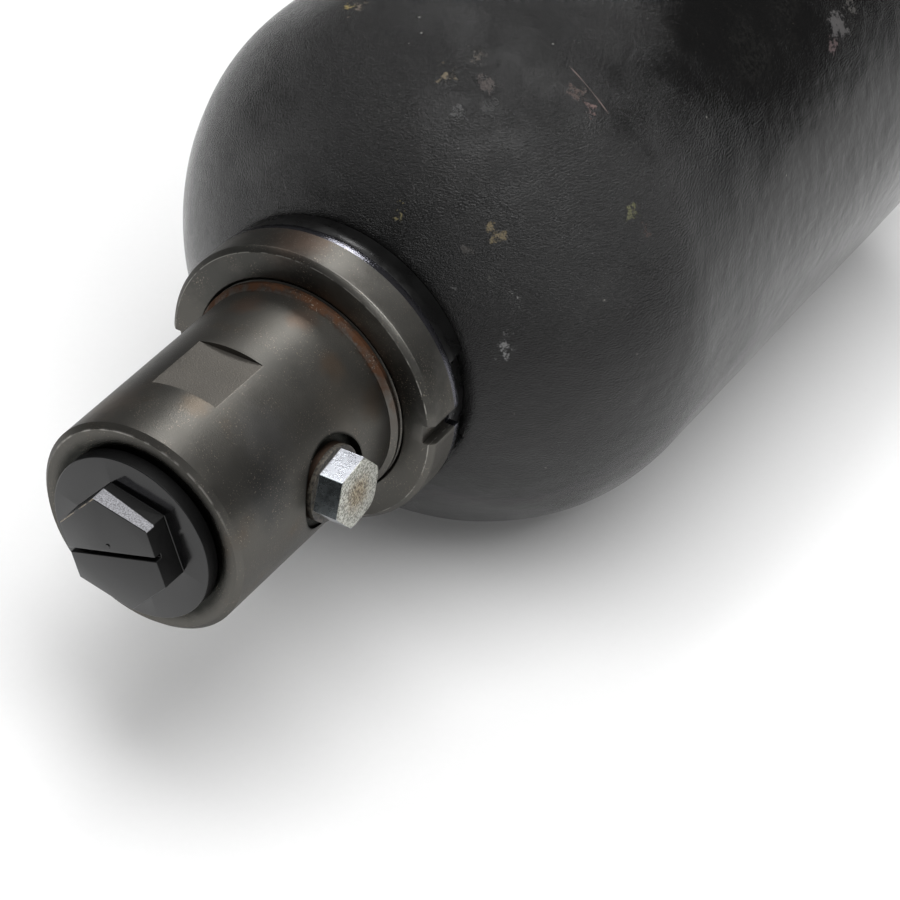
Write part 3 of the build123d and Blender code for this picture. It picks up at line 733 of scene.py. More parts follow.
plug = turned("thread_plug", [
    (0, FLANGE_FRONT), (FLANGE_RADIUS, FLANGE_FRONT), (FLANGE_RADIUS, 0), (SHANK_RADIUS, 0),
    (SHANK_RADIUS, SHANK_END), (SHANK_RADIUS - PLUG_WALL, SHANK_END),
    (SHANK_RADIUS - PLUG_WALL, FLANGE_FRONT + PLUG_WALL), (0, FLANGE_FRONT + PLUG_WALL),
])
plug_head = prism("plug_head", PLUG_ACROSS, HEAD_FRONT, FLANGE_FRONT - HEAD_FRONT + 0.5, radians(PLUG_TURN),
                  taper=PLUG_DRAFT)
carve(plug, [plug_head], "UNION")
slot_tool = block("slot_tool", (-30, HEAD_FRONT - 1, -PLUG_SLOT / 2),
                  (30, HEAD_FRONT + PLUG_SLOT_DEPTH, PLUG_SLOT / 2))
slot_tool.rotation_euler = (0, -radians(PLUG_TURN + 30), 0)
settle()
carve(plug, [slot_tool])
soften(plug, 0.35, segments=3)
pip = turned("pip", [
    (0, HEAD_FRONT - PIP_HEIGHT), (PIP_RADIUS - PIP_HEIGHT, HEAD_FRONT - PIP_HEIGHT),
    (PIP_RADIUS, HEAD_FRONT + 0.1), (0, HEAD_FRONT + 0.1),
], sides=24)
pip.location = (PIP_PLACE[0] * MM, 0, PIP_PLACE[1] * MM)
settle()
carve(plug, [pip], "UNION")
stand_in(plug, "transport_plug")

# %% [markdown]
# ## The spring of the poppet valve
# Behind the web a steel spring holds the poppet open. It is coiled from round wire, and its two ends are flat,
# so that it stands square on the bush. Here a circle is screwed around the axis and the ends are
# cut off flat. In the real valve the spring is squashed towards the bush when the poppet closes.

# %% Spring
WIRE_RADIUS = 1.3
COIL_RADIUS = 8.0
COILS = 8

_, spring_front, spring_rear = reach("poppet_spring")
spring_length = spring_rear - spring_front
bpy.ops.object.select_all(action="DESELECT")
bpy.ops.mesh.primitive_circle_add(
    vertices=20, radius=WIRE_RADIUS * MM, location=(COIL_RADIUS * MM, spring_front * MM, 0)
)
spring = bpy.context.object
spring.name = "coiled_spring"
settle()
apply_modifier(
    spring, "SCREW", axis="Y", angle=2 * pi, screw_offset=spring_length / COILS * MM, iterations=COILS,
    steps=40, render_steps=40,
)
bpy.ops.object.mode_set(mode="EDIT")
bpy.ops.mesh.select_all(action="SELECT")
bpy.ops.mesh.fill_holes(sides=0)
bpy.ops.mesh.select_all(action="SELECT")
bpy.ops.mesh.normals_make_consistent(inside=False)
bpy.ops.object.mode_set(mode="OBJECT")
carve(spring, [
    block("front_grinder", (-12, spring_front - 5, -12), (12, spring_front, 12)),
    block("rear_grinder", (-12, spring_rear, -12), (12, spring_rear + 5, 12)),
])
bpy.ops.object.shade_smooth_by_angle(angle=radians(40))
stand_in(spring, "poppet_spring")
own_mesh(spring)

# %% [markdown]
# ## The gas end
# The other end carries the gas valve. The photograph cuts it off, so it is finished plainly. A washer spreads
# the load of a hexagon nut, whose corners are turned off by a cone as on every bought nut. The hexagon keeps
# what it shares with a turned blank, which takes the corners off at once.

# %% Washer and nut of the gas valve
STEM_RADIUS = 11.05
GAS_NUT_ACROSS = 36.0
GAS_NUT_FACE = 18.0
GAS_NUT_CONE = (4.0, 2.3)  # outwards and along the axis

washer_radius, washer_front, washer_rear = reach("gas_washer")
washer = ring("gas_flat_washer", STEM_RADIUS + 0.1, washer_radius, washer_front, washer_rear)
soften(washer, 0.3)
stand_in(washer, "gas_washer")

_, gas_nut_front, gas_nut_rear = reach("gas_lock_nut")
cone_radius = GAS_NUT_FACE + GAS_NUT_CONE[0]
gas_nut = prism("gas_hexagon_nut", GAS_NUT_ACROSS, gas_nut_front, gas_nut_rear - gas_nut_front)
corners_off = turned("corners_off", [
    (0, gas_nut_front - 1), (cone_radius, gas_nut_front - 1), (cone_radius, gas_nut_rear - GAS_NUT_CONE[1]),
    (GAS_NUT_FACE, gas_nut_rear), (0, gas_nut_rear),
])
carve(gas_nut, [corners_off], "INTERSECT")
carve(gas_nut, [turned("nut_bore", [
    (0, gas_nut_front - 1), (STEM_RADIUS, gas_nut_front - 1), (STEM_RADIUS, gas_nut_rear - 1),
    (STEM_RADIUS + 2, gas_nut_rear + 1), (0, gas_nut_rear + 1),
])])
soften(gas_nut, 0.25)
stand_in(gas_nut, "gas_lock_nut")

# %% [markdown]
# ## The guard cap
# A cap protects the gas valve. It is turned and bored, and its grip flutes are milled along the side. One
# round cutter is placed beside the cap and copied around the axis.

# %% Guard cap
FLUTES = 12
FLUTE_RADIUS = 1.8

cap_radius, cap_start, cap_end = reach("guard_cap")
cap_ceiling = cap_end - 4.0
guard = turned("fluted_guard_cap", [
    (STEM_RADIUS, cap_start), (cap_radius, cap_start), (cap_radius, cap_end - 1.5), (cap_radius - 1.5, cap_end),
    (0, cap_end), (0, cap_ceiling), (STEM_RADIUS, cap_ceiling), (STEM_RADIUS, cap_start),
])
bpy.ops.object.select_all(action="DESELECT")
bpy.ops.mesh.primitive_cylinder_add(
    vertices=32, radius=FLUTE_RADIUS * MM, depth=(cap_end - cap_start + 2) * MM, rotation=(pi / 2, 0, 0),
    location=((cap_radius + FLUTE_RADIUS / 2) * MM, (cap_start + cap_end) / 2 * MM, 0),
)
flute = bpy.context.object
flute.name = "flute_cutter"
settle()
carve(guard, around_axis(flute, FLUTES))
soften(guard, 0.3)
stand_in(guard, "guard_cap")

# %% [markdown]
# ## What happened to the shell's paint
# Years of handling left dust, yellow and rusty patches and scratches. Their places come from the photograph,
# so each is a place on the shell in millimetres, with its size and its colour.

# %% Patches and scratches
PATCHES = [
    ((-27.6, 147.2, 82.6), 1.6, (0.46, 0.36, 0.13)), ((-24.3, 146.0, 83.3), 3.2, (0.22, 0.18, 0.14)),
    ((14.7, 132.8, 80.2), 3.4, (0.22, 0.18, 0.12)), ((17.7, 103.9, 51.9), 1.7, (0.20, 0.17, 0.08)),
    ((18.9, 107.8, 57.2), 1.3, (0.14, 0.14, 0.14)), ((44.3, 112.9, 49.3), 3.0, (0.20, 0.16, 0.09)),
    ((71.0, 143.6, 48.6), 2.6, (0.14, 0.14, 0.07)), ((74.9, 144.5, 43.0), 2.4, (0.07, 0.045, 0.04)),
    ((51.0, 152.3, 71.9), 3.2, (0.19, 0.12, 0.11)), ((45.8, 153.0, 75.4), 3.4, (0.10, 0.07, 0.06)),
    ((73.7, 263.5, 49.8), 6.0, (0.11, 0.105, 0.105)), ((75.6, 257.6, 46.7), 3.6, (0.13, 0.09, 0.09)),
    ((72.9, 273.4, 50.9), 4.5, (0.09, 0.085, 0.08)), ((52.4, 104.1, 16.9), 2.6, (0.24, 0.24, 0.24)),
    ((51.1, 104.5, 22.1), 1.8, (0.10, 0.10, 0.10)), ((53.6, 110.0, 33.3), 1.2, (0.25, 0.25, 0.24)),
    ((55.3, 109.0, 27.6), 1.0, (0.22, 0.22, 0.21)), ((36.6, 100.5, 32.5), 1.6, (0.08, 0.08, 0.08)),
    ((46.1, 106.5, 36.0), 1.8, (0.09, 0.09, 0.08)), ((38.5, 106.8, 44.6), 3.2, (0.07, 0.065, 0.06)),
    ((22.5, 126.3, 74.4), 3.0, (0.09, 0.09, 0.09)), ((29.8, 131.5, 75.1), 4.0, (0.05, 0.05, 0.05)),
    ((25.3, 136.6, 79.5), 4.0, (0.09, 0.075, 0.07)), ((18.8, 142.0, 83.4), 3.6, (0.10, 0.085, 0.07)),
]
SCRATCHES = [
    ((38.6, 158.2, 79.9), (57.3, 155.2, 67.5), 0.35, (0.13, 0.10, 0.09)),
    ((79.1, 203.0, 40.7), (79.1, 194.3, 40.6), 0.35, (0.30, 0.29, 0.28)),
    ((-22.8, 103.4, 48.8), (-20.2, 101.5, 46.7), 0.30, (0.12, 0.12, 0.12)),
]
print("Paint:", len(PATCHES), "patches and", len(SCRATCHES), "scratches")

# %% [markdown]
# ## The paint of the shell
# The shell was painted black over its forging skin. Under the paint the steel has fine wrinkles that run
# along the meridians, as the head was drawn in. So one noise is stretched along them: its coordinates are the
# direction around the axis and the distance along the surface. A slow noise makes some zones smoother, and
# the barrel and the lower half are smoother than the top of the head. The patches are crumbly at their edges,
# because paint flakes off in grains: each is drifted and mixed with a fine noise before it is cut off.


# %% Shell paint
ALONG_STRETCH = 0.42  # how much slower the wrinkles change along the shell than around it
SKIN_DEPTH = 0.38 * MM
DENT_DEPTH = 0.30 * MM
DRIFT = 16 * MM
PATCH_SHADE = 0.62  # the tints were judged in the photograph, where the light has brightened them


def forging_skin(f, y, z, radius, flat):
    """The wrinkles and grains of the forging as a bump, on top of shallow dents."""
    around = f.vectors("NORMALIZE", flat)
    around = f.vectors("SCALE", around, Scale=shell_radius * MM)
    along = f.times(f.maths("ADD", y, radius), ALONG_STRETCH)
    along = f.add("ShaderNodeCombineXYZ", Y=along).outputs[0]
    flow = f.vectors("ADD", around, along)
    wrinkles = f.noise(2100.0, 2.0, 0.65, flow)
    grain = f.noise(2200.0, 2.0, 0.6)
    strength = f.step(f.noise(24.0, 3.0, 0.55), 0.36, 0.58, 0.50, 1.0)
    strength = f.times(strength, f.edge(y, 215, 150, 0.28, 1.0))
    strength = f.times(strength, f.edge(z, 18, 50, 0.55, 1.4))
    height = f.maths("ADD", wrinkles, f.times(grain, 0.9))
    dents = f.bump(f.noise(160.0, 3.0), DENT_DEPTH)
    return f.bump(f.times(height, strength), SKIN_DEPTH, under=dents)


def drifted_place(f):
    """The place, moved about a little by a noise, so that round patches come out crooked."""
    drift = f.add("ShaderNodeTexNoise", Vector=f.place, Scale=210.0, Detail=4.0, Roughness=0.7).outputs["Color"]
    drift = f.vectors("SUBTRACT", drift, (0.5, 0.5, 0.5))
    drift = f.vectors("SCALE", drift, Scale=DRIFT)
    return f.vectors("ADD", f.place, drift)


def shell_paint():
    """Gloss black with dust and light specks, and then each patch and scratch on top."""
    f = Finish("black_forging_paint", roughness=0.2, IOR=1.40)
    _, y, z, radius, flat = f.parts()
    colour = f.blend(f.noise(70.0, 4.0), (0.0012, 0.0012, 0.0013), (0.0030, 0.0029, 0.0028))
    dust = f.step(f.noise(38.0, 4.0, 0.6), 0.50, 0.72)
    dust = f.times(dust, f.step(f.noise(900.0, 2.0), 0.35, 0.65))
    colour = f.blend(f.times(dust, 0.22), colour, (0.030, 0.029, 0.027))
    specks = f.add("ShaderNodeTexVoronoi", Vector=f.place, Scale=150.0, Randomness=1.0).outputs["Distance"]
    specks = f.times(f.step(specks, 0.070, 0.03), f.step(f.noise(45.0, 2.0), 0.50, 0.60))
    colour = f.blend(f.times(specks, 0.7), colour, (0.18, 0.175, 0.16))

    worn = specks
    ragged = f.noise(420.0, 5.0, 0.75)
    crumbs = f.noise(1900.0, 4.0, 0.75)
    drifted = drifted_place(f)
    for centre, size, tint in PATCHES:
        patch = f.times(f.spot(centre, size, ragged, drifted), 0.55)
        patch = f.step(f.maths("ADD", patch, crumbs), 0.64, 1.16)
        colour = f.blend(patch, colour, [c * PATCH_SHADE for c in tint])
        worn = f.maths("MAXIMUM", worn, patch)
    for first, last, width, tint in SCRATCHES:
        line = f.scratch(first, last, width)
        colour = f.blend(line, colour, tint)
        worn = f.maths("MAXIMUM", worn, line)

    roughness = f.step(f.noise(55.0, 4.0, 0.6), 0.30, 0.72, 0.10, 0.21)
    roughness = f.maths("MAXIMUM", roughness, f.times(worn, 0.7))
    return f.finish(colour, roughness, forging_skin(f, y, z, radius, flat))


dress(shell, shell_paint())
print("Paint of the shell:", len(shell.data.materials[0].node_tree.nodes), "nodes")

# %% [markdown]
# ## The blackened steel
# Port body and nuts are black-oxidised: a thin dark skin that still reflects like metal, with the fine rings
# of the lathe under it. So it is a metal with a very dark tint. The skin is thinner in places, which gives
# brown and olive tones, and fine pits let the bare steel through as bright dots.


# %% Black oxide
RING_DEPTH = 0.022 * MM
PIT_DEPTH = 0.05 * MM


def black_oxide(name, stains, dark=(0.083, 0.082, 0.078), light=(0.120, 0.113, 0.100)):
    """The stains are a function that paints on the colour, which on the port body and the nut includes painted
    light and shade, and says what is rusty and what is polished.
    """
    f = Finish(name, roughness=0.38, metallic=1.0, Specular_Tint=(0.65, 0.65, 0.65, 1.0))
    x, y, _, radius, _ = f.parts()
    tone = f.noise(26.0, 4.0, 0.6)
    ragged = f.noise(230.0, 4.0, 0.65)
    colour = f.blend(tone, dark, light)
    colour = f.blend(f.step(f.noise(60.0, 4.0, 0.6), 0.56, 0.75, 0.0, 0.4), colour, (0.115, 0.086, 0.062))
    colour, rust, polish = stains(f, colour, ragged)
    dots = f.step(f.noise(2300.0, 1.0), 0.63, 0.73, 0.0, 0.8)
    dots = f.times(dots, f.step(f.noise(120.0, 3.0), 0.40, 0.60))
    colour = f.blend(dots, colour, f.blend(f.noise(700.0), (0.24, 0.18, 0.12), (0.34, 0.32, 0.29)))
    rings = f.bump(f.rings(5200.0, radius, y, x), RING_DEPTH)
    normal = f.bump(f.noise(2600.0, 2.0), PIT_DEPTH, under=rings)
    roughness = f.maths("MAXIMUM", f.step(tone, 0.3, 0.7, 0.34, 0.44), f.times(rust, 0.62))
    smoother = f.step(polish, 0.0, 1.0, 1.0, 0.30)
    return f.finish(colour, f.times(roughness, smoother), normal)


def clouds(f, colour, ragged, places, strength):
    """Soft patches of another tone, each at a place in millimetres: real stains, and also painted light and
    shade.
    """
    for centre, size, tint in places:
        colour = f.blend(f.times(f.spot(centre, size, ragged), strength), colour, tint)
    return colour


def plain(f, colour, ragged):
    """No stains: nothing is rusty and nothing is polished."""
    nothing = f.step(ragged, 2.0, 3.0)
    return colour, nothing, nothing


oxide = black_oxide("black_oxide_plain", plain)
dress(gas_nut, oxide)
print("The nut of the gas valve is plain black oxide")

# %% [markdown]
# ## Stains and painted light on the port body
# Rust starts where the body steps out to the thread, because water stays in that corner, and less of it
# below. The brown clouds are stains, and the lighter and darker grey clouds are painted light and shade. The
# spanner flats were milled through the black skin a little, the front face is darker and glossier in a ring
# around the plug, the top of its front edge is worn and carries a painted highlight, and the colour is darker
# in the bleed screw's counterbore.


# %% Stains and painted light of the port body
# Brown stains, and grey patches painted lighter or darker as painted light and shade: place and size in
# millimetres, and tint
BODY_STAINS_AND_PAINTED_LIGHT = [
    ((-10.0, 66.0, 32.0), 7.0, (0.145, 0.095, 0.070)), ((8.0, 68.0, 32.5), 6.0, (0.135, 0.092, 0.068)),
    ((22.0, 62.0, 25.0), 6.0, (0.14, 0.10, 0.07)), ((6.0, 20.0, 33.0), 6.0, (0.12, 0.095, 0.07)),
    ((-17.0, 12.0, 29.0), 12.0, (0.17, 0.14, 0.115)), ((30.0, 68.0, 12.0), 7.0, (0.10, 0.075, 0.055)),
    ((28.0, 57.0, 18.0), 11.0, (0.155, 0.140, 0.120)), ((31.0, 18.0, 13.0), 12.0, (0.044, 0.046, 0.048)),
    ((12.0, 48.0, 31.0), 15.0, (0.076, 0.075, 0.070)), ((23.0, 28.0, 24.0), 12.0, (0.130, 0.128, 0.126)),
]
RUST_START = 75.5
RUST_END = 76.6
FLAT_HEIGHT = FLATS / 2
FLAT_MIDDLE = sum(FLAT_SPAN) / 2
FLAT_HALF = (FLAT_SPAN[1] - FLAT_SPAN[0]) / 2
DARK_RING_RADIUS = 26.2
EDGE_WEAR_AND_HIGHLIGHT_RADIUS = 31.5


def body_stains_and_painted_light(f, colour, ragged):
    """Rust before the nut, brown stains and painted light and shade as clouds, milled flats, a worn front edge
    with a painted highlight, a dark ring around the plug and a darker counterbore.
    """
    _, y, z, radius, _ = f.parts()
    start = f.maths("ADD", y, f.times(ragged, 6 * MM))
    rust = f.times(f.edge(start, RUST_START, RUST_START + 2),
                   f.edge(y, RUST_END, RUST_END - 0.4))
    rust = f.times(rust, f.edge(z, -4, 22))
    rust = f.times(rust, f.step(ragged, 0.30, 0.60, 0.5, 1.0))
    colour = f.blend(rust, colour, (0.085, 0.042, 0.024))
    # brown stains, and lighter and darker grey patches that are painted light and shade
    colour = clouds(f, colour, ragged, BODY_STAINS_AND_PAINTED_LIGHT, 0.6)

    height = f.maths("ABSOLUTE", z)
    off_middle = f.maths("ABSOLUTE", f.maths("SUBTRACT", y, FLAT_MIDDLE * MM))
    milled = f.times(f.edge(height, FLAT_HEIGHT - 0.10, FLAT_HEIGHT - 0.05),
                     f.edge(height, FLAT_HEIGHT + 0.07, FLAT_HEIGHT + 0.03))
    milled = f.times(milled, f.edge(off_middle, FLAT_HALF, FLAT_HALF - 0.15))
    colour = f.blend(milled, colour, (0.145, 0.136, 0.122))

    # The front face is darker and glossier in a ring around the plug, and darker in the bleed screw's
    # counterbore.
    dark_ring = f.maths("SUBTRACT", radius, f.times(ragged, 1.5 * MM))
    dark_ring = f.edge(dark_ring, DARK_RING_RADIUS + 4, DARK_RING_RADIUS, 0.0, 0.88)
    dark_ring = f.times(f.edge(y, 1.0, 0.2), dark_ring)
    counterbore_darkening = f.far((BLEED_FLOOR, BLEED_PLACE, 0.0))
    counterbore_darkening = f.edge(counterbore_darkening, BLEED_BORE + 1, BLEED_BORE + 0.1, 0.0, 0.9)
    colour = f.blend(f.maths("MAXIMUM", dark_ring, counterbore_darkening), colour, (0.006, 0.007, 0.006))

    # The top of the front edge is painted lighter: partly worn steel, partly a painted highlight kept to the
    # upper side.
    rubbed_edge_and_highlight = f.times(f.edge(y, 0.35, 0.05),
                     f.edge(radius, EDGE_WEAR_AND_HIGHLIGHT_RADIUS, EDGE_WEAR_AND_HIGHLIGHT_RADIUS + 0.35))
    rubbed_edge_and_highlight = f.times(rubbed_edge_and_highlight, f.step(ragged, 0.40, 0.58))
    rubbed_edge_and_highlight = f.times(rubbed_edge_and_highlight, f.edge(z, 8, 24))
    return f.blend(rubbed_edge_and_highlight, colour, (0.30, 0.29, 0.27)), rust, dark_ring


dress(port_body, black_oxide("black_oxide_body", body_stains_and_painted_light))
print("Port body:", len(BODY_STAINS_AND_PAINTED_LIGHT), "clouds on the black oxide, and rust from", RUST_START, "mm")

# %% [markdown]
# ## Stains and painted light on the lock nut
# The nut was touched more than anything else. Its band has a brown crown, and lighter zones that are painted
# light. Its front face is painted darker, most of all towards +X, as painted shade and reflection. The edge of
# its chamfer is worn through, and a strip at its rear end is polished and cooler in colour.


# %% Stains and painted light of the lock nut
# Painted light on the band, and painted shade and reflection on the front face: place and size in millimetres,
# and tint
NUT_PAINTED_LIGHT_AND_SHADE = [
    ((29.0, 84.5, 35.0), 17.0, (0.185, 0.180, 0.165)), ((40.0, 84.5, 21.0), 12.0, (0.130, 0.127, 0.118)),
    ((-14.0, 76.8, 38.0), 14.0, (0.060, 0.060, 0.056)), ((2.0, 76.8, 40.0), 10.0, (0.042, 0.042, 0.040)),
    ((38.0, 76.8, 14.0), 16.0, (0.034, 0.034, 0.031)), ((-30.0, 76.8, 27.0), 16.0, (0.062, 0.062, 0.058)),
]
BROWN_CROWN = ((-4.0, 84.0, 46.0), 13.0)
CHAMFER_EDGE = nut_radius - NUT_CHAMFER
STRIP_WIDTH = 2.5


def nut_stains_and_painted_light(f, colour, ragged):
    """A brown crown on the band, painted light and shade as clouds, a worn edge at the chamfer and a polished
    strip at the rear.
    """
    _, y, _, radius, _ = f.parts()
    crown = f.spot(*BROWN_CROWN, ragged)
    colour = f.blend(f.times(crown, 0.6), colour, (0.135, 0.088, 0.064))
    # painted light on the band, and painted shade and reflection on the front face
    colour = clouds(f, colour, ragged, NUT_PAINTED_LIGHT_AND_SHADE, 0.75)
    worn = f.times(f.edge(radius, CHAMFER_EDGE - 0.20, CHAMFER_EDGE),
                   f.edge(radius, CHAMFER_EDGE + 0.25, CHAMFER_EDGE + 0.05))
    worn = f.times(worn, f.step(ragged, 0.42, 0.56, 0.0, 0.7))
    colour = f.blend(worn, colour, (0.36, 0.35, 0.32))
    strip = f.edge(y, nut_rear - STRIP_WIDTH, nut_rear - STRIP_WIDTH + 0.4)
    return f.blend(strip, colour, (0.135, 0.135, 0.155)), f.times(crown, 0.4), strip


dress(nut, black_oxide("black_oxide_nut", nut_stains_and_painted_light))
print("Lock nut:", len(NUT_PAINTED_LIGHT_AND_SHADE), "clouds, polished strip", STRIP_WIDTH, "mm wide")

# %% [markdown]
# ## The paint of the spacer ring
# The ring is painted black like the shell, but thinly and less glossy. It lies in the shade between the nut
# and the shell, so a plain finish with a slightly uneven gloss is enough.


# %% Ring paint
def ring_paint():
    """A thin black paint with a slightly uneven gloss."""
    f = Finish("black_ring_paint", roughness=0.35, IOR=1.36)
    colour = f.blend(f.noise(120.0, 4.0), (0.0008, 0.0008, 0.0009), (0.0024, 0.0024, 0.0023))
    roughness = f.step(f.noise(180.0, 3.0), 0.35, 0.7, 0.26, 0.44)
    return f.finish(colour, roughness, f.bump(f.noise(500.0, 3.0), 0.06 * MM))


dress(spacer, ring_paint())
print("Spacer ring: one paint all over")

# %% [markdown]
# ## The plastic of the plug
# The plug is moulded in black plastic. What points forward came off the polished half of the mould, so it is
# glossy with a faint orange-peel. The sides slid along the mould when the plug was pushed out, so they are
# matt. The two finishes are given out by the direction of each face. One edge is worn and carries a painted
# highlight, and one side has a bright strip painted on it as the reflection of a light, with a grainy look.


# %% Plug plastic
APOTHEM = PLUG_ACROSS / 2  # from the middle of the head to the middle of a side
# where the bright strip, a painted reflection, ends on one side of the head
REFLECTION_STRIP_SLOPE = 0.094
REFLECTION_STRIP_PLACE = -8.45


def plug_front():
    """The faces that came off the polished half of the mould, with one worn edge that carries a painted
    highlight.
    """
    f = Finish("black_plug_plastic", roughness=0.14, IOR=1.52)
    y = f.parts()[1]
    colour = f.blend(f.noise(140.0, 4.0), (0.0010, 0.0010, 0.0012), (0.0026, 0.0026, 0.0030))
    # a lighter line along one upper front edge: worn plastic and a painted highlight
    rubbed_edge_and_highlight = f.times(f.edge(y, HEAD_FRONT + 0.35, HEAD_FRONT + 0.15),
                     f.edge(f.along(PLUG_TURN + 150), APOTHEM - 0.45, APOTHEM - 0.30),
                     f.step(f.noise(300.0, 3.0), 0.40, 0.55))
    colour = f.blend(rubbed_edge_and_highlight, colour, (0.24, 0.20, 0.15))
    roughness = f.step(f.noise(60.0, 4.0, 0.6), 0.30, 0.70, 0.10, 0.20)
    roughness = f.maths("MAXIMUM", roughness, f.times(rubbed_edge_and_highlight, 0.5))
    fine = f.bump(f.noise(1800.0, 2.0), 0.006 * MM)
    return f.finish(colour, roughness, f.bump(f.noise(110.0, 2.0), 0.06 * MM, under=fine))


def plug_sides():
    """The faces along the pull of the mould: matt, with a bright strip painted on one side as a light's
    reflection.
    """
    f = Finish("matt_plug_plastic", roughness=0.45, IOR=1.5, Specular_IOR_Level=0.14)
    y = f.parts()[1]
    colour = f.blend(f.noise(240.0, 4.0), (0.0008, 0.0008, 0.0009), (0.0026, 0.0026, 0.0026))
    fine = f.noise(2300.0, 4.0, 0.8)
    # a bright strip on one side with a grainy texture: painted reflection of a light
    limit = f.maths("ADD", y, f.times(f.along(PLUG_TURN), REFLECTION_STRIP_SLOPE))
    painted_reflection_strip = f.times(f.edge(limit, REFLECTION_STRIP_PLACE, REFLECTION_STRIP_PLACE - 0.2),
                      f.edge(f.along(PLUG_TURN + 90), APOTHEM - 0.45, APOTHEM - 0.25),
                      f.step(fine, 0.25, 0.55, 0.55, 1.0))
    colour = f.blend(painted_reflection_strip, colour, f.blend(f.step(fine, 0.35, 0.65), (0.14, 0.14, 0.15), (0.35, 0.35, 0.37)))
    return f.finish(colour, f.step(fine, 0.3, 0.7, 0.40, 0.55), f.bump(fine, 0.02 * MM))


dress(plug, plug_front())
plug.data.materials.append(plug_sides())
for face in plug.data.polygons:
    if abs(face.normal.y) < 0.5:
        face.material_index = 1
print("Matt faces of the plug:", sum(face.material_index for face in plug.data.polygons))

# %% [markdown]
# ## The zinc of the bleed screw
# The screw is zinc-plated, which is a bright, slightly blue metal with a fine crystal grain. On its end face
# the plating has corroded to a white and brown crust. One facet is painted dark with a blotchy tone, as painted
# reflection of dark surroundings, and the collar at the bottom of the counterbore is darker. Crust isn't metal,
# so it and the darker collar are rougher and less metallic.


# %% Zinc plating
def zinc_plate():
    """Bright zinc, one facet painted dark as painted reflection, a corroded end face and a darker collar."""
    f = Finish("zinc_plating", roughness=0.26, metallic=1.0)
    x, y, z, _, _ = f.parts()
    ragged = f.noise(900.0, 4.0, 0.7)
    fine = f.noise(1500.0, 4.0, 0.75)
    colour = f.blend(f.noise(260.0, 4.0), (0.28, 0.29, 0.31), (0.36, 0.37, 0.40))

    # One facet is painted dark with a blotchy tone: painted reflection of dark surroundings.
    turn = radians(BLEED_TURN + 150)
    facet = f.times(f.maths("SUBTRACT", y, BLEED_PLACE * MM), cos(turn))
    facet = f.maths("ADD", facet, f.times(z, sin(turn)))
    facet = f.edge(facet, BLEED_ACROSS / 2 - 0.30, BLEED_ACROSS / 2 - 0.10, 0.0, 0.9)
    dark_reflection_colour = f.blend(f.noise(330.0, 5.0, 0.7), (0.035, 0.042, 0.045), (0.17, 0.19, 0.195))
    colour = f.blend(facet, colour, dark_reflection_colour)

    end = f.edge(x, HEAD_END - 0.35, HEAD_END - 0.15)
    colour = f.blend(end, colour, f.blend(f.step(fine, 0.38, 0.62), (0.14, 0.14, 0.12), (0.54, 0.54, 0.49)))
    crust = f.times(f.spot((HEAD_END, BLEED_PLACE, 0.0), 7.5, ragged), end)
    colour = f.blend(crust, colour, f.blend(f.step(fine, 0.40, 0.62), (0.07, 0.05, 0.03), (0.36, 0.31, 0.22)))
    # The collar at the bottom of the counterbore is darker, rougher and less metallic.
    counterbore_darkening = f.edge(x, HEAD_START + 0.5, HEAD_START - 0.1)
    counterbore_dark_colour = f.blend(f.step(ragged, 0.4, 0.6), (0.020, 0.018, 0.015), (0.08, 0.07, 0.055))
    colour = f.blend(counterbore_darkening, colour, counterbore_dark_colour)

    dull = f.maths("MAXIMUM", f.times(end, 0.5), f.maths("MAXIMUM", crust, counterbore_darkening))
    roughness = f.maths("ADD", f.step(f.noise(500.0, 3.0), 0.3, 0.7, 0.20, 0.32), f.times(dull, 0.35))
    metallic = f.maths("SUBTRACT", 1.0, f.times(dull, 0.6))
    normal = f.bump(fine, 0.02 * MM, under=f.bump(ragged, 0.05 * MM))
    return f.finish(colour, roughness, normal, metallic)


zinc = zinc_plate()
dress(head_piece, zinc)
print("Bleed screw: zinc, corroded on its end face")

# %% [markdown]
# ## The finishes inside
# The solids that can't be seen from outside keep their shape and get their own finish, because the model can
# be taken apart: turned steel, bronze, brass and copper, drawn spring wire, rubber and white PTFE.


# %% Finishes of the inner parts
def turned_metal(name, dark, light, roughness, scale=3000.0):
    """A bare metal with the rings of the lathe."""
    f = Finish(name, roughness=roughness, metallic=1.0)
    x, y, _, radius, _ = f.parts()
    colour = f.blend(f.noise(90.0, 4.0), dark, light)
    spread = f.step(f.noise(200.0, 3.0), 0.3, 0.7, roughness - 0.06, roughness + 0.10)
    return f.finish(colour, spread, f.bump(f.rings(scale, radius, y, x), 0.03 * MM))


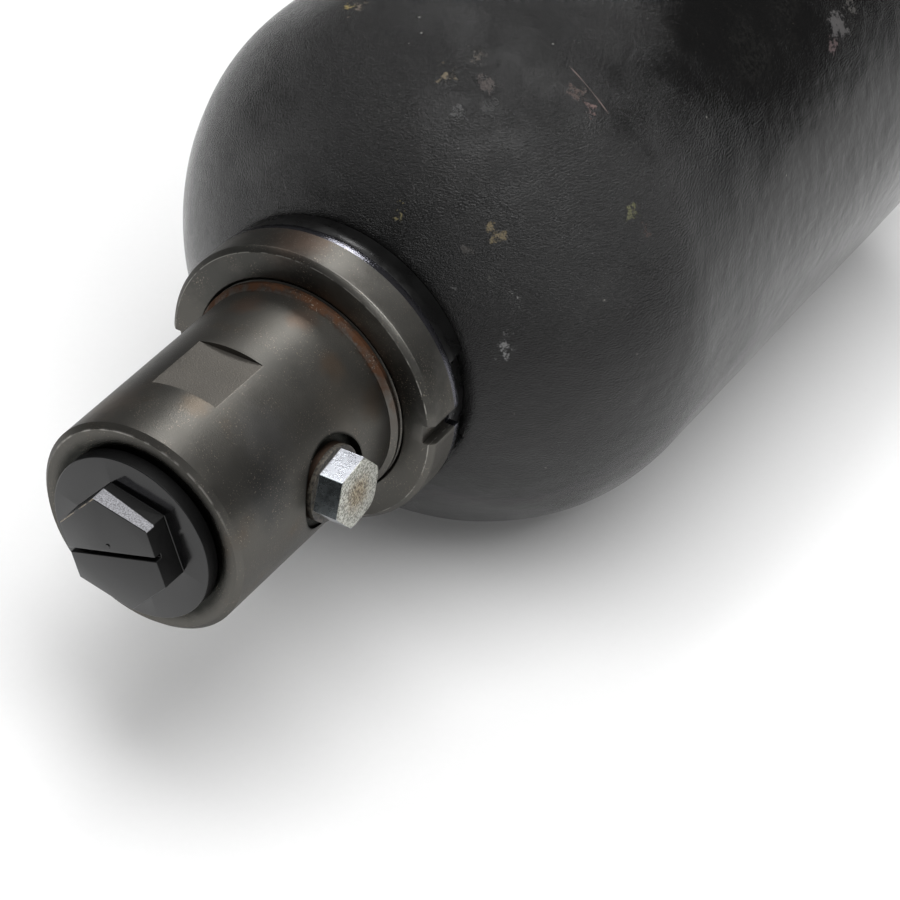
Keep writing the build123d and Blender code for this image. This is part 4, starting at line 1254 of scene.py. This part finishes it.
def moulded(name, dark, light, roughness, grain, depth):
    """Rubber or plastic with the grain of its mould."""
    f = Finish(name, roughness=roughness, IOR=1.5)
    colour = f.blend(f.noise(80.0, 4.0), dark, light)
    spread = f.step(f.noise(150.0, 3.0), 0.3, 0.7, roughness - 0.06, roughness + 0.08)
    return f.finish(colour, spread, f.bump(f.noise(grain, 3.0), depth))


inner = {
    "plain_steel": turned_metal("turned_steel", (0.34, 0.34, 0.33), (0.46, 0.46, 0.45), 0.34),
    "spring_steel": turned_metal("spring_wire", (0.14, 0.14, 0.14), (0.24, 0.24, 0.23), 0.38, 1500.0),
    "brass": turned_metal("turned_brass", (0.66, 0.49, 0.22), (0.80, 0.62, 0.32), 0.30),
    "bronze": turned_metal("bearing_bronze", (0.48, 0.30, 0.14), (0.60, 0.40, 0.20), 0.40),
    "copper": turned_metal("aged_copper", (0.018, 0.013, 0.010), (0.055, 0.036, 0.026), 0.55),
    "rubber": moulded("black_rubber", (0.010, 0.010, 0.010), (0.020, 0.020, 0.019), 0.58, 1400.0, 0.03 * MM),
    "white_ptfe": moulded("white_ptfe", (0.72, 0.72, 0.70), (0.80, 0.80, 0.78), 0.36, 900.0, 0.02 * MM),
    "cap_plastic": moulded(
        "cap_plastic", (0.012, 0.012, 0.013), (0.020, 0.020, 0.021), 0.36, 1600.0, 0.03 * MM
    ),
    "zinc_plate": zinc,
    "black_oxide": oxide,
}
print("Finishes for the inner parts:", ", ".join(inner))

# %% [markdown]
# Now each solid that wasn't modelled again gets the finish that its material slot names, and so do the washer,
# the guard cap and the spring, which use the same materials.

# %% Dress the inner parts
dress(washer, inner["plain_steel"])
dress(guard, inner["cap_plastic"])
dress(spring, inner["spring_steel"])

modelled = {"shell", "fluid_port_body", "lock_nut", "spacer_ring", "bleed_screw", "transport_plug",
            "gas_washer", "gas_lock_nut", "guard_cap", "poppet_spring"}
for part in frame["record"]["subparts"]:
    if part["node"] not in modelled:
        for slot in nodes[part["node"]].material_slots:
            slot.material = inner[part["material_slot"]]
        print(part["node"], "->", part["material_slot"])
